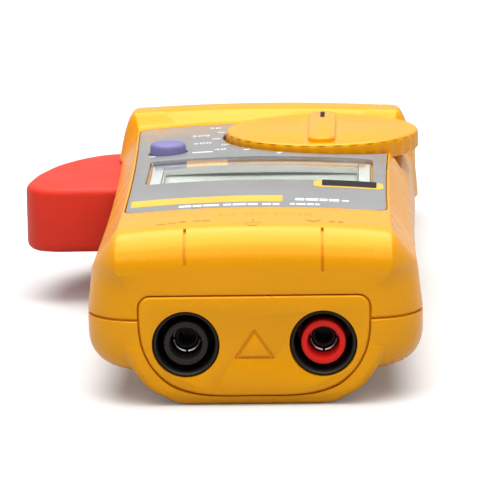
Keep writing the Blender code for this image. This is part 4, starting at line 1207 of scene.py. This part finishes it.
def addLamp(name, place, target, size, power):
    lamp = bpy.data.lights.new(name, 'AREA')
    lamp.shape = 'RECTANGLE'
    lamp.size, lamp.size_y = size
    lamp.energy = power
    item = bpy.data.objects.new(name, lamp)
    bpy.context.scene.collection.objects.link(item)
    item.location = place
    item.rotation_euler = (Vector(target) - Vector(place)).to_track_quat('-Z', 'Y').to_euler()


def makeWorld(level):      # brighter behind than in front, and weaker as fill
    world = bpy.data.worlds.new("studio")
    bpy.context.scene.world = world
    world.use_nodes = True
    tree = world.node_tree
    place = added(tree, "TexCoord", {})
    parts = added(tree, "SeparateXYZ", {0: place.outputs["Generated"]})
    behind = added(tree, "MapRange", {"From Min": -0.6, "From Max": 0.4, "To Min": level["front"],
                                      "To Max": level["behind"], "Value": parts.outputs["Y"]})
    behind.interpolation_type = 'SMOOTHSTEP'
    path = added(tree, "LightPath", {})
    diffuse = added(tree, "MapRange", {"To Min": 1.0, "To Max": level["fill"],
                                       "Value": path.outputs["Is Diffuse Ray"]})
    strength = mathOf(tree, 'MULTIPLY', behind.outputs["Result"], diffuse.outputs["Result"])
    fed(tree, tree.nodes["Background"], {"Color": (1, 1, 1, 1), "Strength": strength})


def makeFloor(shown, lit, glow):      # the camera sees a paler floor than the light does
    bpy.ops.mesh.primitive_plane_add(size=8)
    floor = bpy.context.object
    floor.name = "floor"
    look, tree, shader, place = newLook("paleFloor")
    tree.nodes.remove(place.node)
    seen = added(tree, "LightPath", {}).outputs["Is Camera Ray"]
    shade = tree.nodes.new("ShaderNodeMix")
    shade.data_type = 'RGBA'
    fed(tree, shade, {0: seen, 6: (lit, lit, lit, 1), 7: (shown, shown, shown, 1)})
    fed(tree, shader, {"Base Color": shade.outputs[2], "Roughness": 0.9, "Specular IOR Level": 0.1,
                       "Emission Color": (1, 1, 1, 1),
                       "Emission Strength": mathOf(tree, 'MULTIPLY', seen, glow)})
    floor.data.materials.append(look)


makeCamera()
makeWorld({"front": 0.25, "behind": 0.55, "fill": 0.25})
addLamp("overhead", (0.0, 0.0, 0.80), (0, 0.0, 0), (1.0, 1.1), 16.0)
addLamp("front", (0.0, -0.76, 0.62), (0, -0.05, 0.02), (1.3, 0.42), 3.8)
makeFloor(0.68, 0.46, 0.12)
bpy.context.scene.view_settings.view_transform = 'Standard'
print("camera and light set")
